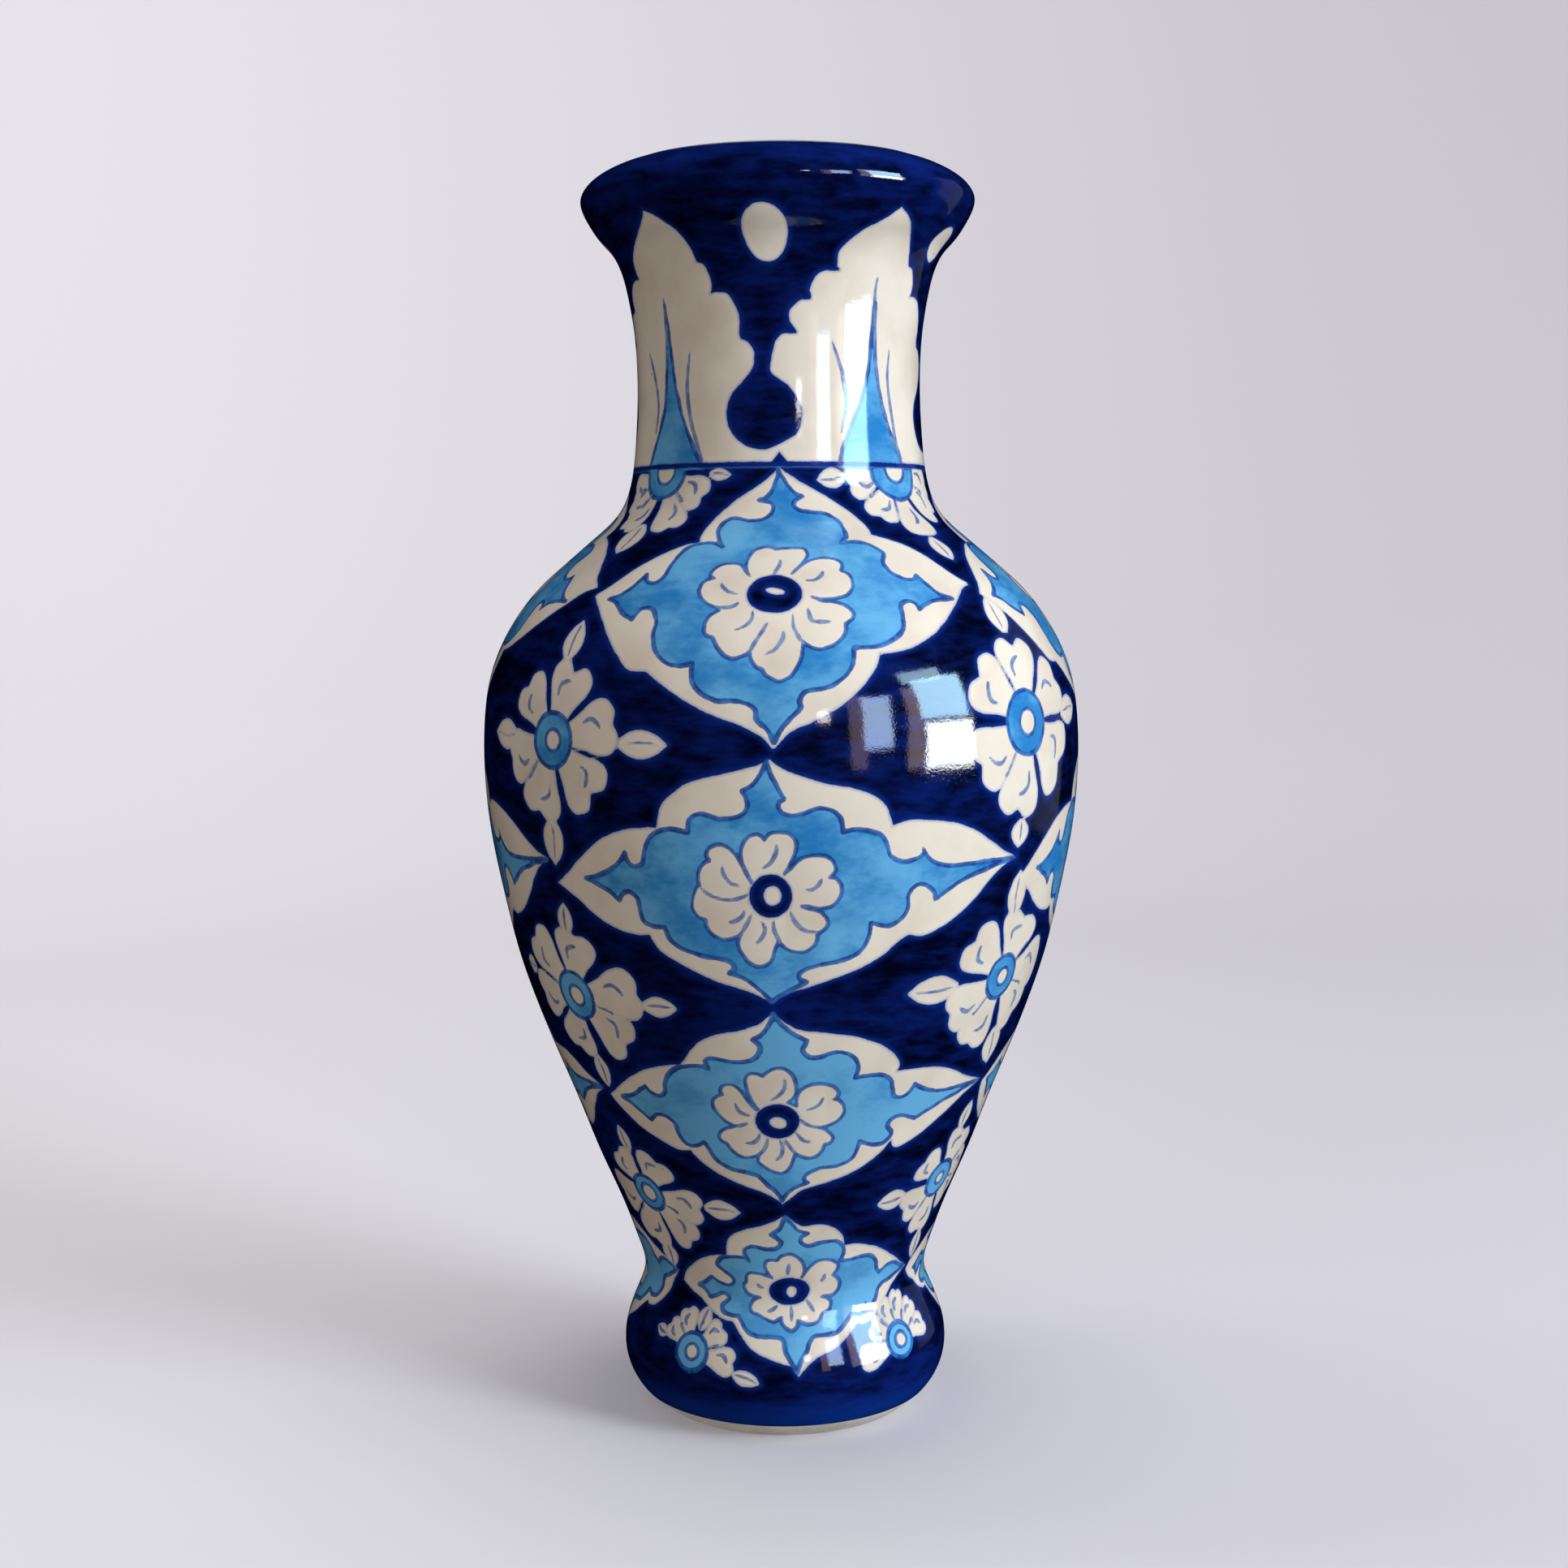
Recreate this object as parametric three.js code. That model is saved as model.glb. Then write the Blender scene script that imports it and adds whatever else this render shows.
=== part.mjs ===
// A painted pottery vase, 305 mm tall, made the way a potter makes a tall one: seven turned clay sections
// and a floor disc, stacked and luted together with slip, then fired as one pot.
//
// Millimetres, +Z up. The origin is the middle of the foot, on the ground.
//
// The outer face of the pot is one smooth outline, a spline through the stations below. Each section is a
// stretch of that outline with the wall's thickness behind it. Where two sections meet, the lower one has a
// tongue on its inner half and the upper one a skirt on its outer half, and a band of slip fills the slot
// between them. Neighbours keep SEAM_GAP clear of each other, which is where the fired slip bonds them.
import * as THREE from "three";

// ---- Driving dimensions: heights of the turned sections, from the ground up
const RING_HEIGHT = 4.2; // bare clay foot ring
const FOOT_HEIGHT = 29.3; // spreading foot, up to the waist
const LOWER_BODY_HEIGHT = 62.5;
const BELLY_HEIGHT = 68;
const SHOULDER_HEIGHT = 66.5;
const NECK_HEIGHT = 51.5;
const LIP_FLARE_HEIGHT = 15.6; // from the neck out to the widest part of the lip
const LIP_DOME_HEIGHT = 7.4; // from there over to the crown

// ---- Driving dimensions: outer radii, at the seams and on the lip
const RING_GROUND_RADIUS = 31.2;
const RING_TOP_RADIUS = 36.4;
const WAIST_RADIUS = 35.3;
const LOWER_SEAM_RADIUS = 58.8;
const BELLY_RADIUS = 73.1;
const NECK_FOOT_RADIUS = 36;
const LIP_SEAM_RADIUS = 38.9;
const LIP_RADIUS = 47.3; // widest part of the lip
const CROWN_RADIUS = 33.4; // highest part of the lip
const RIM_RADIUS = 31.5; // where the lip turns down into the mouth
const RIM_DROP = 1.5; // how far that is below the crown

// ---- Shape of each section: how far its outer face swells out from a straight taper between its ends,
// and the curve of that swelling as [share of the section's height, share of the swelling]
const FOOT_SWELL = 4.6;
const FOOT_CURVE = [[0.18, 0.7], [0.4, 1], [0.7, 0.6], [0.87, 0.01]];
const LOWER_BODY_SWELL = -1.35;
const LOWER_BODY_CURVE = [[0.12, 0.9], [0.3, 1], [0.5, 0.48], [0.74, 0.36]];
const BELLY_SWELL = 2.95;
const BELLY_CURVE = [[0.25, 0.82], [0.5, 1], [0.75, 0.84]];
const SHOULDER_SWELL = 10;
const SHOULDER_CURVE = [[0.24, 0.76], [0.42, 1], [0.58, 0.86], [0.72, 0.37], [0.84, -0.1], [0.92, -0.14]];
const NECK_SWELL = -3;
const NECK_CURVE = [[0.24, 0.66], [0.51, 1], [0.77, 0.84]];
const LIP_FLARE_SWELL = 1.75;
const LIP_FLARE_CURVE = [[0.41, 0.88], [0.78, 1]];
const LIP_DOME_SWELL = 3.2;
const LIP_DOME_CURVE = [[0.44, 1], [0.8, 0.94]];

// ---- Driving dimensions: clay
const WALL = 5;
const FLOOR_THICKNESS = 6;
const RING_BORE_RADIUS = 25.5; // the hollow under the foot
const RING_EDGE_BEVEL = 0.8;
const LIP_WALL = 6; // clay behind the widest part of the lip, which is hollow like a cup

// ---- Joints
const LAP = 4; // how far a tongue stands up behind its skirt
const SLIP = 0.8; // thickness of a band of slip in a lap
const SLIP_BED = 0.6; // thickness of the flat bed of slip on the foot ring
const SEAM_GAP = 0.3; // clearance between pieces that touch

// ---- How finely the faces are cut
const TURNS = 48;
const FACET_HEIGHT = 9;
const LIP_FACET = 3;
const RIM_FACETS = 5;
const ARC_STEPS = 40; // samples between two stations, for measuring along the outline
const ARC_ACCURACY = 0.001;

// ---- The outline: stations from the ground up, through every seam and the swelling between them
const stations = [new THREE.Vector2(RING_GROUND_RADIUS, 0)];

// Carries the outline on from its last station and returns the number of the station it ends at.
function rise(height, radius, swell = 0, curve = []) {
  const start = stations[stations.length - 1];
  for (const [share, part] of curve) {
    const taper = start.x + share * (radius - start.x);
    stations.push(new THREE.Vector2(taper + part * swell, start.y + share * height));
  }
  return stations.push(new THREE.Vector2(radius, start.y + height)) - 1;
}

const AT_RING_TOP = rise(RING_HEIGHT, RING_TOP_RADIUS);
const AT_WAIST = rise(FOOT_HEIGHT, WAIST_RADIUS, FOOT_SWELL, FOOT_CURVE);
const AT_LOWER_SEAM = rise(LOWER_BODY_HEIGHT, LOWER_SEAM_RADIUS, LOWER_BODY_SWELL, LOWER_BODY_CURVE);
const AT_BELLY_SEAM = rise(BELLY_HEIGHT, BELLY_RADIUS, BELLY_SWELL, BELLY_CURVE);
const AT_NECK_FOOT = rise(SHOULDER_HEIGHT, NECK_FOOT_RADIUS, SHOULDER_SWELL, SHOULDER_CURVE);
const AT_LIP_SEAM = rise(NECK_HEIGHT, LIP_SEAM_RADIUS, NECK_SWELL, NECK_CURVE);
const AT_LIP_WIDEST = rise(LIP_FLARE_HEIGHT, LIP_RADIUS, LIP_FLARE_SWELL, LIP_FLARE_CURVE);
rise(LIP_DOME_HEIGHT, CROWN_RADIUS, LIP_DOME_SWELL, LIP_DOME_CURVE);
rise(-RIM_DROP, RIM_RADIUS);

const outline = new THREE.SplineCurve(stations);
outline.arcLengthDivisions = ARC_STEPS * (stations.length - 1);
const arcs = outline.getLengths();
const OUTLINE_LENGTH = outline.getLength();
const arcOf = (station) => arcs[station * ARC_STEPS];

// The point a given depth into the wall, behind the outline at an arc length from the ground.
function wallPoint(arc, depth) {
  const share = arc / OUTLINE_LENGTH;
  const face = outline.getPointAt(share);
  const along = outline.getTangentAt(share);
  return new THREE.Vector2(face.x - depth * along.y, face.y + depth * along.x);
}

// Points down or up the wall at one depth, near enough together to follow its curve.
function wallRun(fromArc, toArc, depth, spacing = FACET_HEIGHT) {
  const steps = Math.ceil(Math.abs(toArc - fromArc) / spacing);
  return Array.from({ length: steps + 1 }, (_, i) =>
    wallPoint(fromArc + ((toArc - fromArc) * i) / steps, depth));
}

// Depths into the wall of a lap's slot, and of the band of slip in it.
const SLOT = SLIP + 2 * SEAM_GAP;
const SKIRT_DEPTH = (WALL - SLOT) / 2;
const TONGUE_DEPTH = (WALL + SLOT) / 2;
const SLIP_FACES = [(WALL - SLIP) / 2, (WALL + SLIP) / 2];

// The lower end of a section that has a skirt, read from its inner face to its outer face.
function skirtEnd(seamArc) {
  const ceiling = seamArc + LAP + SEAM_GAP;
  return [
    wallPoint(ceiling, WALL),
    wallPoint(ceiling, SKIRT_DEPTH),
    wallPoint(seamArc + SEAM_GAP / 2, SKIRT_DEPTH),
  ];
}

// The upper end of a section that has a tongue, read from its outer face to its inner face.
function tongueEnd(seamArc) {
  const step = seamArc - SEAM_GAP / 2;
  return [
    wallPoint(step, TONGUE_DEPTH),
    wallPoint(seamArc + LAP, TONGUE_DEPTH),
    wallPoint(seamArc + LAP, WALL),
  ];
}

// A section of plain wall between two seams: outer face up, tongue, inner face down, skirt.
function wallSection(lowStation, highStation) {
  const low = arcOf(lowStation);
  const high = arcOf(highStation);
  return [
    ...wallRun(low + SEAM_GAP / 2, high - SEAM_GAP / 2, 0),
    ...tongueEnd(high),
    ...wallRun(high + LAP, low + LAP + SEAM_GAP, WALL).slice(1, -1),
    ...skirtEnd(low),
  ];
}

// The band of slip in the slot of a lap.
function slipBand(station) {
  const low = arcOf(station) + SEAM_GAP / 2;
  const high = arcOf(station) + LAP - SEAM_GAP / 2;
  const [outer, inner] = SLIP_FACES;
  return [wallPoint(low, outer), wallPoint(high, outer), wallPoint(high, inner), wallPoint(low, inner)];
}

// ---- The foot
const BED_LOW = RING_HEIGHT + SEAM_GAP;
const BED_TOP = BED_LOW + SLIP_BED;
const FOOT_LOW = BED_TOP + SEAM_GAP;

// Arc length at which the outline of the foot reaches a height.
function footArc(height) {
  let [low, high] = [0, arcOf(AT_WAIST)];
  while (high - low > ARC_ACCURACY) {
    const middle = (low + high) / 2;
    if (wallPoint(middle, 0).y < height) low = middle;
    else high = middle;
  }
  return low;
}

// The ring the pot stands on: flat under the foot, sloping outside, hollow in the middle.
function footRing() {
  return [
    new THREE.Vector2(RING_BORE_RADIUS + RING_EDGE_BEVEL, 0),
    ...wallRun(0, arcOf(AT_RING_TOP), 0),
    new THREE.Vector2(RING_BORE_RADIUS, RING_HEIGHT),
    new THREE.Vector2(RING_BORE_RADIUS, RING_EDGE_BEVEL),
  ];
}

// The flat bed of slip between the ring and what stands on it.
function ringSlip() {
  const outer = wallPoint(footArc(BED_LOW), 0).x;
  return [
    new THREE.Vector2(RING_BORE_RADIUS, BED_LOW),
    new THREE.Vector2(outer, BED_LOW),
    new THREE.Vector2(outer, BED_TOP),
    new THREE.Vector2(RING_BORE_RADIUS, BED_TOP),
  ];
}

const FOOT_BORE_RADIUS = wallPoint(footArc(FOOT_LOW), WALL).x;

// The disc that closes the pot: it lies on the foot ring's inner ledge, inside the foot's wall.
function baseFloor() {
  const radius = FOOT_BORE_RADIUS - SEAM_GAP;
  const top = FOOT_LOW + FLOOR_THICKNESS;
  return [
    new THREE.Vector2(0, FOOT_LOW),
    new THREE.Vector2(radius, FOOT_LOW),
    new THREE.Vector2(radius, top),
    new THREE.Vector2(0, top),
  ];
}

// The spreading foot. It stands square on the slip bed, and its bore is straight up to the wall's own curve.
function footWall() {
  const low = footArc(FOOT_LOW);
  const waist = arcOf(AT_WAIST);
  return [
    new THREE.Vector2(wallPoint(low, 0).x, FOOT_LOW),
    ...wallRun(low, waist - SEAM_GAP / 2, 0).slice(1),
    ...tongueEnd(waist),
    ...wallRun(waist + LAP, low, WALL).slice(1),
    new THREE.Vector2(FOOT_BORE_RADIUS, FOOT_LOW),
  ];
}

// The round edge of the mouth: a half-turn at the end of the outline, from its outer face to its inner one.
function rimRound() {
  const radius = WALL / 2;
  const centre = wallPoint(OUTLINE_LENGTH, radius);
  const along = outline.getTangentAt(1);
  return Array.from({ length: RIM_FACETS - 1 }, (_, i) => {
    const turned = (Math.PI * (i + 1)) / RIM_FACETS;
    const out = radius * Math.cos(turned);
    const ahead = radius * Math.sin(turned);
    return new THREE.Vector2(
      centre.x + out * along.y + ahead * along.x,
      centre.y - out * along.x + ahead * along.y);
  });
}

// The lip: the outline carried over the crown to the mouth, then back down inside the cup to the neck's bore.
function lipRoll() {
  const low = arcOf(AT_LIP_SEAM);
  const inside = new THREE.SplineCurve([
    wallPoint(OUTLINE_LENGTH, WALL),
    new THREE.Vector2(LIP_RADIUS - LIP_WALL, stations[AT_LIP_WIDEST].y),
    wallPoint(low + LAP + SEAM_GAP, WALL),
  ]);
  return [
    ...wallRun(low + SEAM_GAP / 2, OUTLINE_LENGTH, 0, LIP_FACET),
    ...rimRound(),
    ...inside.getPoints(Math.ceil(inside.getLength() / LIP_FACET)).slice(0, -1),
    ...skirtEnd(low),
  ];
}

// ---- Materials
const clay = (color, roughness) => new THREE.MeshStandardMaterial({ color, roughness, metalness: 0 });
const cobaltGlaze = clay(0x0a1550, 0.08);
const whiteGlaze = clay(0xe9e4da, 0.1);
const bareClay = clay(0xd8cdb8, 0.75);
const driedSlip = clay(0xcfc3ad, 0.9);

// ---- Turning: a profile that starts and ends on the axis, or closes on itself, swept round +Z.
const vase = new THREE.Group();

function turn(name, profile, material) {
  const onAxis = profile[0].x === 0 && profile[profile.length - 1].x === 0;
  const loop = onAxis ? profile : [...profile, profile[0]];
  const geometry = new THREE.LatheGeometry(loop, TURNS);
  geometry.rotateX(Math.PI / 2);
  const mesh = new THREE.Mesh(geometry, material);
  mesh.name = name;
  vase.add(mesh);
}

turn("foot_ring", footRing(), bareClay);
turn("ring_slip", ringSlip(), driedSlip);
turn("base_floor", baseFloor(), whiteGlaze);
turn("foot", footWall(), cobaltGlaze);
turn("waist_slip", slipBand(AT_WAIST), driedSlip);
turn("lower_body", wallSection(AT_WAIST, AT_LOWER_SEAM), cobaltGlaze);
turn("lower_body_slip", slipBand(AT_LOWER_SEAM), driedSlip);
turn("belly", wallSection(AT_LOWER_SEAM, AT_BELLY_SEAM), cobaltGlaze);
turn("belly_slip", slipBand(AT_BELLY_SEAM), driedSlip);
turn("shoulder", wallSection(AT_BELLY_SEAM, AT_NECK_FOOT), cobaltGlaze);
turn("neck_slip", slipBand(AT_NECK_FOOT), driedSlip);
turn("neck", wallSection(AT_NECK_FOOT, AT_LIP_SEAM), whiteGlaze);
turn("lip_slip", slipBand(AT_LIP_SEAM), driedSlip);
turn("lip", lipRoll(), cobaltGlaze);

export default vase;
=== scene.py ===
"""A painted pottery vase, 305 mm tall, under a clear glaze: a cobalt ground, four columns of white panels
washed in sky blue, flowers between them, and a white neck with leaves, drops and spires.

The clay is the frame's own: each turned section keeps its joints and its inner wall, and its outer face
becomes one smooth outline. The painting is worked out on that face, in degrees round the pot (0 is the
front, growing to the right) and millimetres along the outline from the ground.
"""
import math

import bpy
import numpy as np
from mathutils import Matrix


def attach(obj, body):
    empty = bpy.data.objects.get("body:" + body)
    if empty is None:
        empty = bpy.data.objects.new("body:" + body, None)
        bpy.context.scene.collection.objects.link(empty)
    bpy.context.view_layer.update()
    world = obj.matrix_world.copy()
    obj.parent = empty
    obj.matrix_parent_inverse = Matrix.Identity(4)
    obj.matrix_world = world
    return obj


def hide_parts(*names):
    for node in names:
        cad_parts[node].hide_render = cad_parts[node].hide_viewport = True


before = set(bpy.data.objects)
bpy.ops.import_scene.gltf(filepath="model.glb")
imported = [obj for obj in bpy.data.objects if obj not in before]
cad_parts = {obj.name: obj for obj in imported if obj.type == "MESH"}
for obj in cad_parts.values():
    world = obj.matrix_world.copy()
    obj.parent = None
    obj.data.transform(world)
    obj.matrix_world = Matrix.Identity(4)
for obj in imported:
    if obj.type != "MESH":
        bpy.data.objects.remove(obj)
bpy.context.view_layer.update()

MM = 0.001
COLUMNS = 720  # grid columns round the pot
TURN = 360 / COLUMNS  # degrees between two of them
INNER_STEP = 3.0  # mm between two rows of an inner wall
SKIN = 0.4  # mm of glaze and clay that closes a seam from outside
CORNER_ANGLE = 60  # degrees of turn that end a smooth run of the outline

# Turned sections from the ground up, with the row spacing of each outer face in mm.
SECTIONS = {
    "foot_ring": 0.6,
    "foot": 0.5,
    "lower_body": 0.6,
    "belly": 0.62,
    "shoulder": 0.68,
    "neck": 0.5,
    "lip": 0.6,
}


# ---------------------------------------------------------------- camera

def camera():
    """A camera at table height, a little above the middle of the pot and looking slightly down at it."""
    lens = bpy.data.cameras.new("camera")
    lens.lens = 51.3  # mm
    lens.sensor_width = 36  # mm
    lens.shift_x = 0.0026
    eye = bpy.data.objects.new("camera", lens)
    eye.location = (0, -0.5527, 0.2098)
    eye.rotation_euler = (math.radians(84.33), math.radians(0.39), 0)
    bpy.context.collection.objects.link(eye)
    bpy.context.scene.camera = eye


# ---------------------------------------------------------------- the outline, from the frame

class Curve:
    """A natural cubic spline through points, read by arc length in the points' own unit."""

    SAMPLES = 12000

    def __init__(self, points):
        points = np.asarray(points, float)
        knots = np.concatenate([[0], np.cumsum(np.linalg.norm(np.diff(points, axis=0), axis=1))])
        gaps = np.diff(knots)
        count = len(points)
        system = np.eye(count)
        right = np.zeros((count, 2))
        for i in range(1, count - 1):
            system[i, i - 1:i + 2] = gaps[i - 1], 2 * (gaps[i - 1] + gaps[i]), gaps[i]
            slope_in = (points[i] - points[i - 1]) / gaps[i - 1]
            slope_out = (points[i + 1] - points[i]) / gaps[i]
            right[i] = 6 * (slope_out - slope_in)
        self.points, self.knots, self.gaps = points, knots, gaps
        self.bend = np.linalg.solve(system, right)
        self.fine = np.linspace(0, knots[-1], self.SAMPLES)
        path = self.at_knot(self.fine)
        self.arcs = np.concatenate([[0], np.cumsum(np.linalg.norm(np.diff(path, axis=0), axis=1))])
        self.length = self.arcs[-1]
        self.knot_arcs = np.interp(knots, self.fine, self.arcs)

    def at_knot(self, t):
        """Cubic between each pair of points, from their places and second derivatives."""
        i = np.clip(np.searchsorted(self.knots, t, side="right") - 1, 0, len(self.gaps) - 1)
        gap = self.gaps[i][:, None]
        low = (t - self.knots[i])[:, None]
        high = gap - low
        start, end = self.points[i], self.points[i + 1]
        bend0, bend1 = self.bend[i], self.bend[i + 1]
        return (bend0 * high ** 3 + bend1 * low ** 3) / (6 * gap) \
            + (start / gap - bend0 * gap / 6) * high + (end / gap - bend1 * gap / 6) * low

    def at(self, arc):
        """Places at arc lengths."""
        return self.at_knot(np.interp(np.atleast_1d(arc), self.arcs, self.fine))

    def along(self, arc):
        """Unit tangent: the direction between two places a hundredth of a unit either side."""
        step = 0.01
        way = self.at(np.clip(arc + step, 0, self.length)) - self.at(np.clip(arc - step, 0, self.length))
        return way / np.linalg.norm(way, axis=1)[:, None]

    def behind(self, arc, depth):
        """Places a given depth to the left of the direction of travel, which is into the clay."""
        way = self.along(np.atleast_1d(arc))
        return self.at(arc) + depth * np.stack([-way[:, 1], way[:, 0]], 1)


def cut(node):
    """The node's outline in the half-plane y = 0, x > 0: each corner (radius, height) in mm with its two
    neighbours."""
    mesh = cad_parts[node].data
    corners = np.empty(len(mesh.vertices) * 3)
    mesh.vertices.foreach_get("co", corners)
    corners = np.round(corners.reshape(-1, 3) / MM, 3)
    ends = np.empty(len(mesh.edges) * 2, int)
    mesh.edges.foreach_get("vertices", ends)
    ends = ends.reshape(-1, 2)
    flat = (np.abs(corners[:, 1]) < 0.002) & (corners[:, 0] > 0.002)
    links = {}
    for a, b in corners[ends[flat[ends].all(1)]][:, :, [0, 2]]:
        a, b = tuple(a), tuple(b)
        links.setdefault(a, set()).add(b)
        links.setdefault(b, set()).add(a)
    return links


def walk(links, start):
    """The outline's corners in order from start, setting off upwards."""
    path = [start, max(links[start], key=lambda p: p[1])]
    while True:
        ahead = [p for p in links[path[-1]] if p != path[-2]]
        if ahead[0] == start:
            return np.array(path)
        path.append(ahead[0])


def sharp(path):
    """Numbers of the corners of a closed outline that turn by more than CORNER_ANGLE."""
    before = path - np.roll(path, 1, 0)
    after = np.roll(path, -1, 0) - path
    cosine = (before * after).sum(1) / np.linalg.norm(before, axis=1) / np.linalg.norm(after, axis=1)
    return np.flatnonzero(cosine < math.cos(math.radians(CORNER_ANGLE)))


def read_sections():
    """For each section its outer run of corners, upwards, and the rest of its outline after it."""
    runs = {}
    last = None
    for node in SECTIONS:
        links = cut(node)
        if last is None:
            start = max((p for p in links if p[1] < 0.01), key=lambda p: p[0])
        else:
            start = min(links, key=lambda p: math.dist(p, last))
        path = walk(links, start)
        corners = sharp(path)
        end = corners[corners > 0][0]
        runs[node] = (path[:end + 1], path[end + 1:])
        last = path[end]
    return runs


runs = read_sections()


def whole_outline():
    """One curve through every section's outer run, and the arc length of each seam. Two ends that face each
    other across a seam's clearance become one place midway; on the foot ring the ring's own edge stays."""
    places = []
    seams = [0]
    names = list(SECTIONS)
    for below, node in zip([None] + names, names):
        run = list(map(tuple, runs[node][0]))
        if below is None:
            places += run
            continue
        first = run.pop(0)
        if below != "foot_ring":
            places[-1] = tuple((np.array(places[-1]) + first) / 2)
        seams.append(len(places) - 1)
        places += run
    curve = Curve(places)
    return curve, list(curve.knot_arcs[seams]) + [curve.length]


outline, seam_arcs = whole_outline()
CROWN_ARC = float(outline.arcs[outline.at_knot(outline.fine)[:, 1].argmax()])


def radius_at(arc):
    """The pot's radius in mm at an arc length."""
    return float(outline.at(arc)[0, 0])


# ---------------------------------------------------------------- painted outlines
# A closed outline is a list of spans of (degrees, mm), one curved stroke each, with a corner where one span
# ends and the next begins. A list of lines is open: each is a stroke of its own.

PANEL_1_WHITE = [
    [(-0.5, 255.4), (3.2, 253.5), (8.6, 251.3), (14, 249.2), (19.5, 246.7), (24, 243.8), (26.8, 240.4),
     (27.5, 237.9)],
    [(27.1, 236.3), (31.4, 235), (35.9, 232.9), (40, 229.6), (42.7, 225.8), (45, 222.1)],
    [(47.8, 219.1), (44, 217.5), (39.5, 213.3), (35, 209.2), (30.5, 205.4), (25, 202.3), (20, 201.1)],
    [(18.5, 201.1), (17.3, 197.9), (14.5, 193.8), (10.5, 189.6), (5.5, 186.3), (1.4, 183.8)],
    [(-1.3, 180.4), (-3.2, 182.9), (-6.8, 185.4), (-12.3, 187.9), (-17.7, 191.3), (-21.8, 194.6)],
    [(-24.8, 197.1), (-28.6, 197.5), (-31.4, 200.4), (-35, 205), (-38.6, 210), (-41.4, 213.3)],
    [(-44.3, 216.3), (-41.4, 219.2), (-38.6, 223.3), (-35, 227.5), (-30, 231.3), (-25.9, 233.3)],
    [(-22.5, 234), (-23.2, 235.8), (-22.5, 239.2), (-20.5, 242.9), (-16.8, 246.3), (-11.4, 249.2),
     (-5.9, 251.7), (-1.8, 254)],
]
PANEL_1_SKY = [
    [(-0.5, 254.8), (1.2, 252.9), (3.2, 250.8), (5.9, 248.9)],
    [(8.4, 248.3), (5.5, 247.1), (5, 245.8), (6.8, 244.6), (10.5, 244), (15, 243.5), (18.2, 241.7),
     (19.5, 239.2), (19.1, 235.8)],
    [(16.8, 233.3), (20.5, 233.9), (25, 232.9), (27.7, 230.4), (27.3, 228.8), (26.1, 226.7),
     (26.8, 223.3), (29.5, 221.1), (31.8, 221.1)],
    [(33.2, 222.1), (34.5, 219.2), (36.4, 216.3)],
    [(39.5, 214.8), (35.9, 214.6), (32.3, 213.8)],
    [(29.3, 211.9), (29.1, 213.3), (27.7, 214.3), (25.5, 213.3), (25, 210), (24.1, 206.7), (21.4, 204.2),
     (17.7, 202.7)],
    [(13.6, 202.7), (13.2, 199.2), (11.8, 196.3), (8.6, 193.8), (4.5, 192.7), (3.2, 190.8), (3.4, 189.2),
     (1.8, 187.1), (0, 184.6)],
    [(-1.2, 181.7), (-2.5, 184.6), (-4.1, 186.7), (-4.7, 189.2), (-7.7, 190.7), (-11.4, 190.8),
     (-14.5, 192.9), (-15.9, 195.4)],
    [(-16.1, 199.2), (-18.6, 198.5), (-21.4, 199.2), (-23.6, 201.7), (-25, 205.8), (-25.2, 209.2),
     (-26.8, 212.5), (-29.5, 212.5)],
    [(-30.9, 209.6), (-34.1, 211.7), (-36.8, 214.2)],
    [(-39.5, 215.4), (-36.8, 216.7), (-34.5, 219.2)],
    [(-32.9, 223.3), (-31.4, 220.8), (-29.1, 220.4), (-27.7, 222.5), (-27.5, 226.7), (-26.4, 230.8),
     (-23.6, 233.3), (-18.6, 233.8)],
    [(-15.3, 232.3), (-17.3, 235), (-18.5, 237.9), (-17.7, 240.8), (-14.5, 242.3), (-9.5, 241.5),
     (-5, 242.1), (-2.5, 244.2), (-2.7, 246.3)],
    [(-7, 247.3), (-5, 247.7), (-2.7, 249.6), (-0.9, 252.9)],
]
FLOWER_1_PETALS = [
    [(-1.1, 231.3), (1.5, 231.7), (5, 231.7), (6.5, 231.2), (6.9, 229.2), (5.8, 227.3), (4.2, 225.1)],
    [(2.7, 223), (5, 225.6), (7.5, 227.5), (10.5, 228.3), (13.2, 228), (14.8, 226.9), (15, 225.5)],
    [(14.2, 223.9), (15.6, 223), (16.2, 221), (15.8, 218.4), (14.2, 216.4), (11.8, 215.5), (8.8, 215.3)],
    [(6.5, 215.9), (8.5, 214.6), (11, 214.3), (13.2, 213.3), (14.5, 211.6), (14.3, 209.9)],
    [(12.6, 208.6), (12.4, 206.6), (10.8, 204.1), (8.2, 202.6), (6, 202.7)],
    [(4.2, 204.2), (3.9, 202), (3.2, 199), (1.7, 196.2), (0.2, 195.2), (-0.9, 195.3), (-2.6, 196.5)],
    [(-3.2, 197.8), (-4.4, 198.5), (-5.3, 200.2)],
    [(-5.6, 202.2), (-6.8, 201), (-8.8, 200.3), (-10.6, 201.4), (-12, 203.6), (-12.8, 205.3)],
    [(-13.8, 205.6), (-14.6, 206.6), (-14.7, 208.8), (-13.9, 210.8)],
    [(-12.2, 212.1)],
    [(-12.4, 213.1), (-13.4, 213.3), (-15.6, 214.6), (-17.2, 216.8), (-17.6, 218.8), (-16.8, 220.8)],
    [(-14.9, 221.7), (-16, 222.8), (-15.6, 224.6), (-14, 226), (-11.5, 226.6), (-9.6, 226.1),
     (-8.4, 224.5), (-7.4, 222.9)],
    [(-6.8, 222.4), (-7.6, 224), (-8, 226.4), (-7.6, 229), (-6.4, 231), (-4, 232.1), (-2.2, 231.9)],
]
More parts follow.
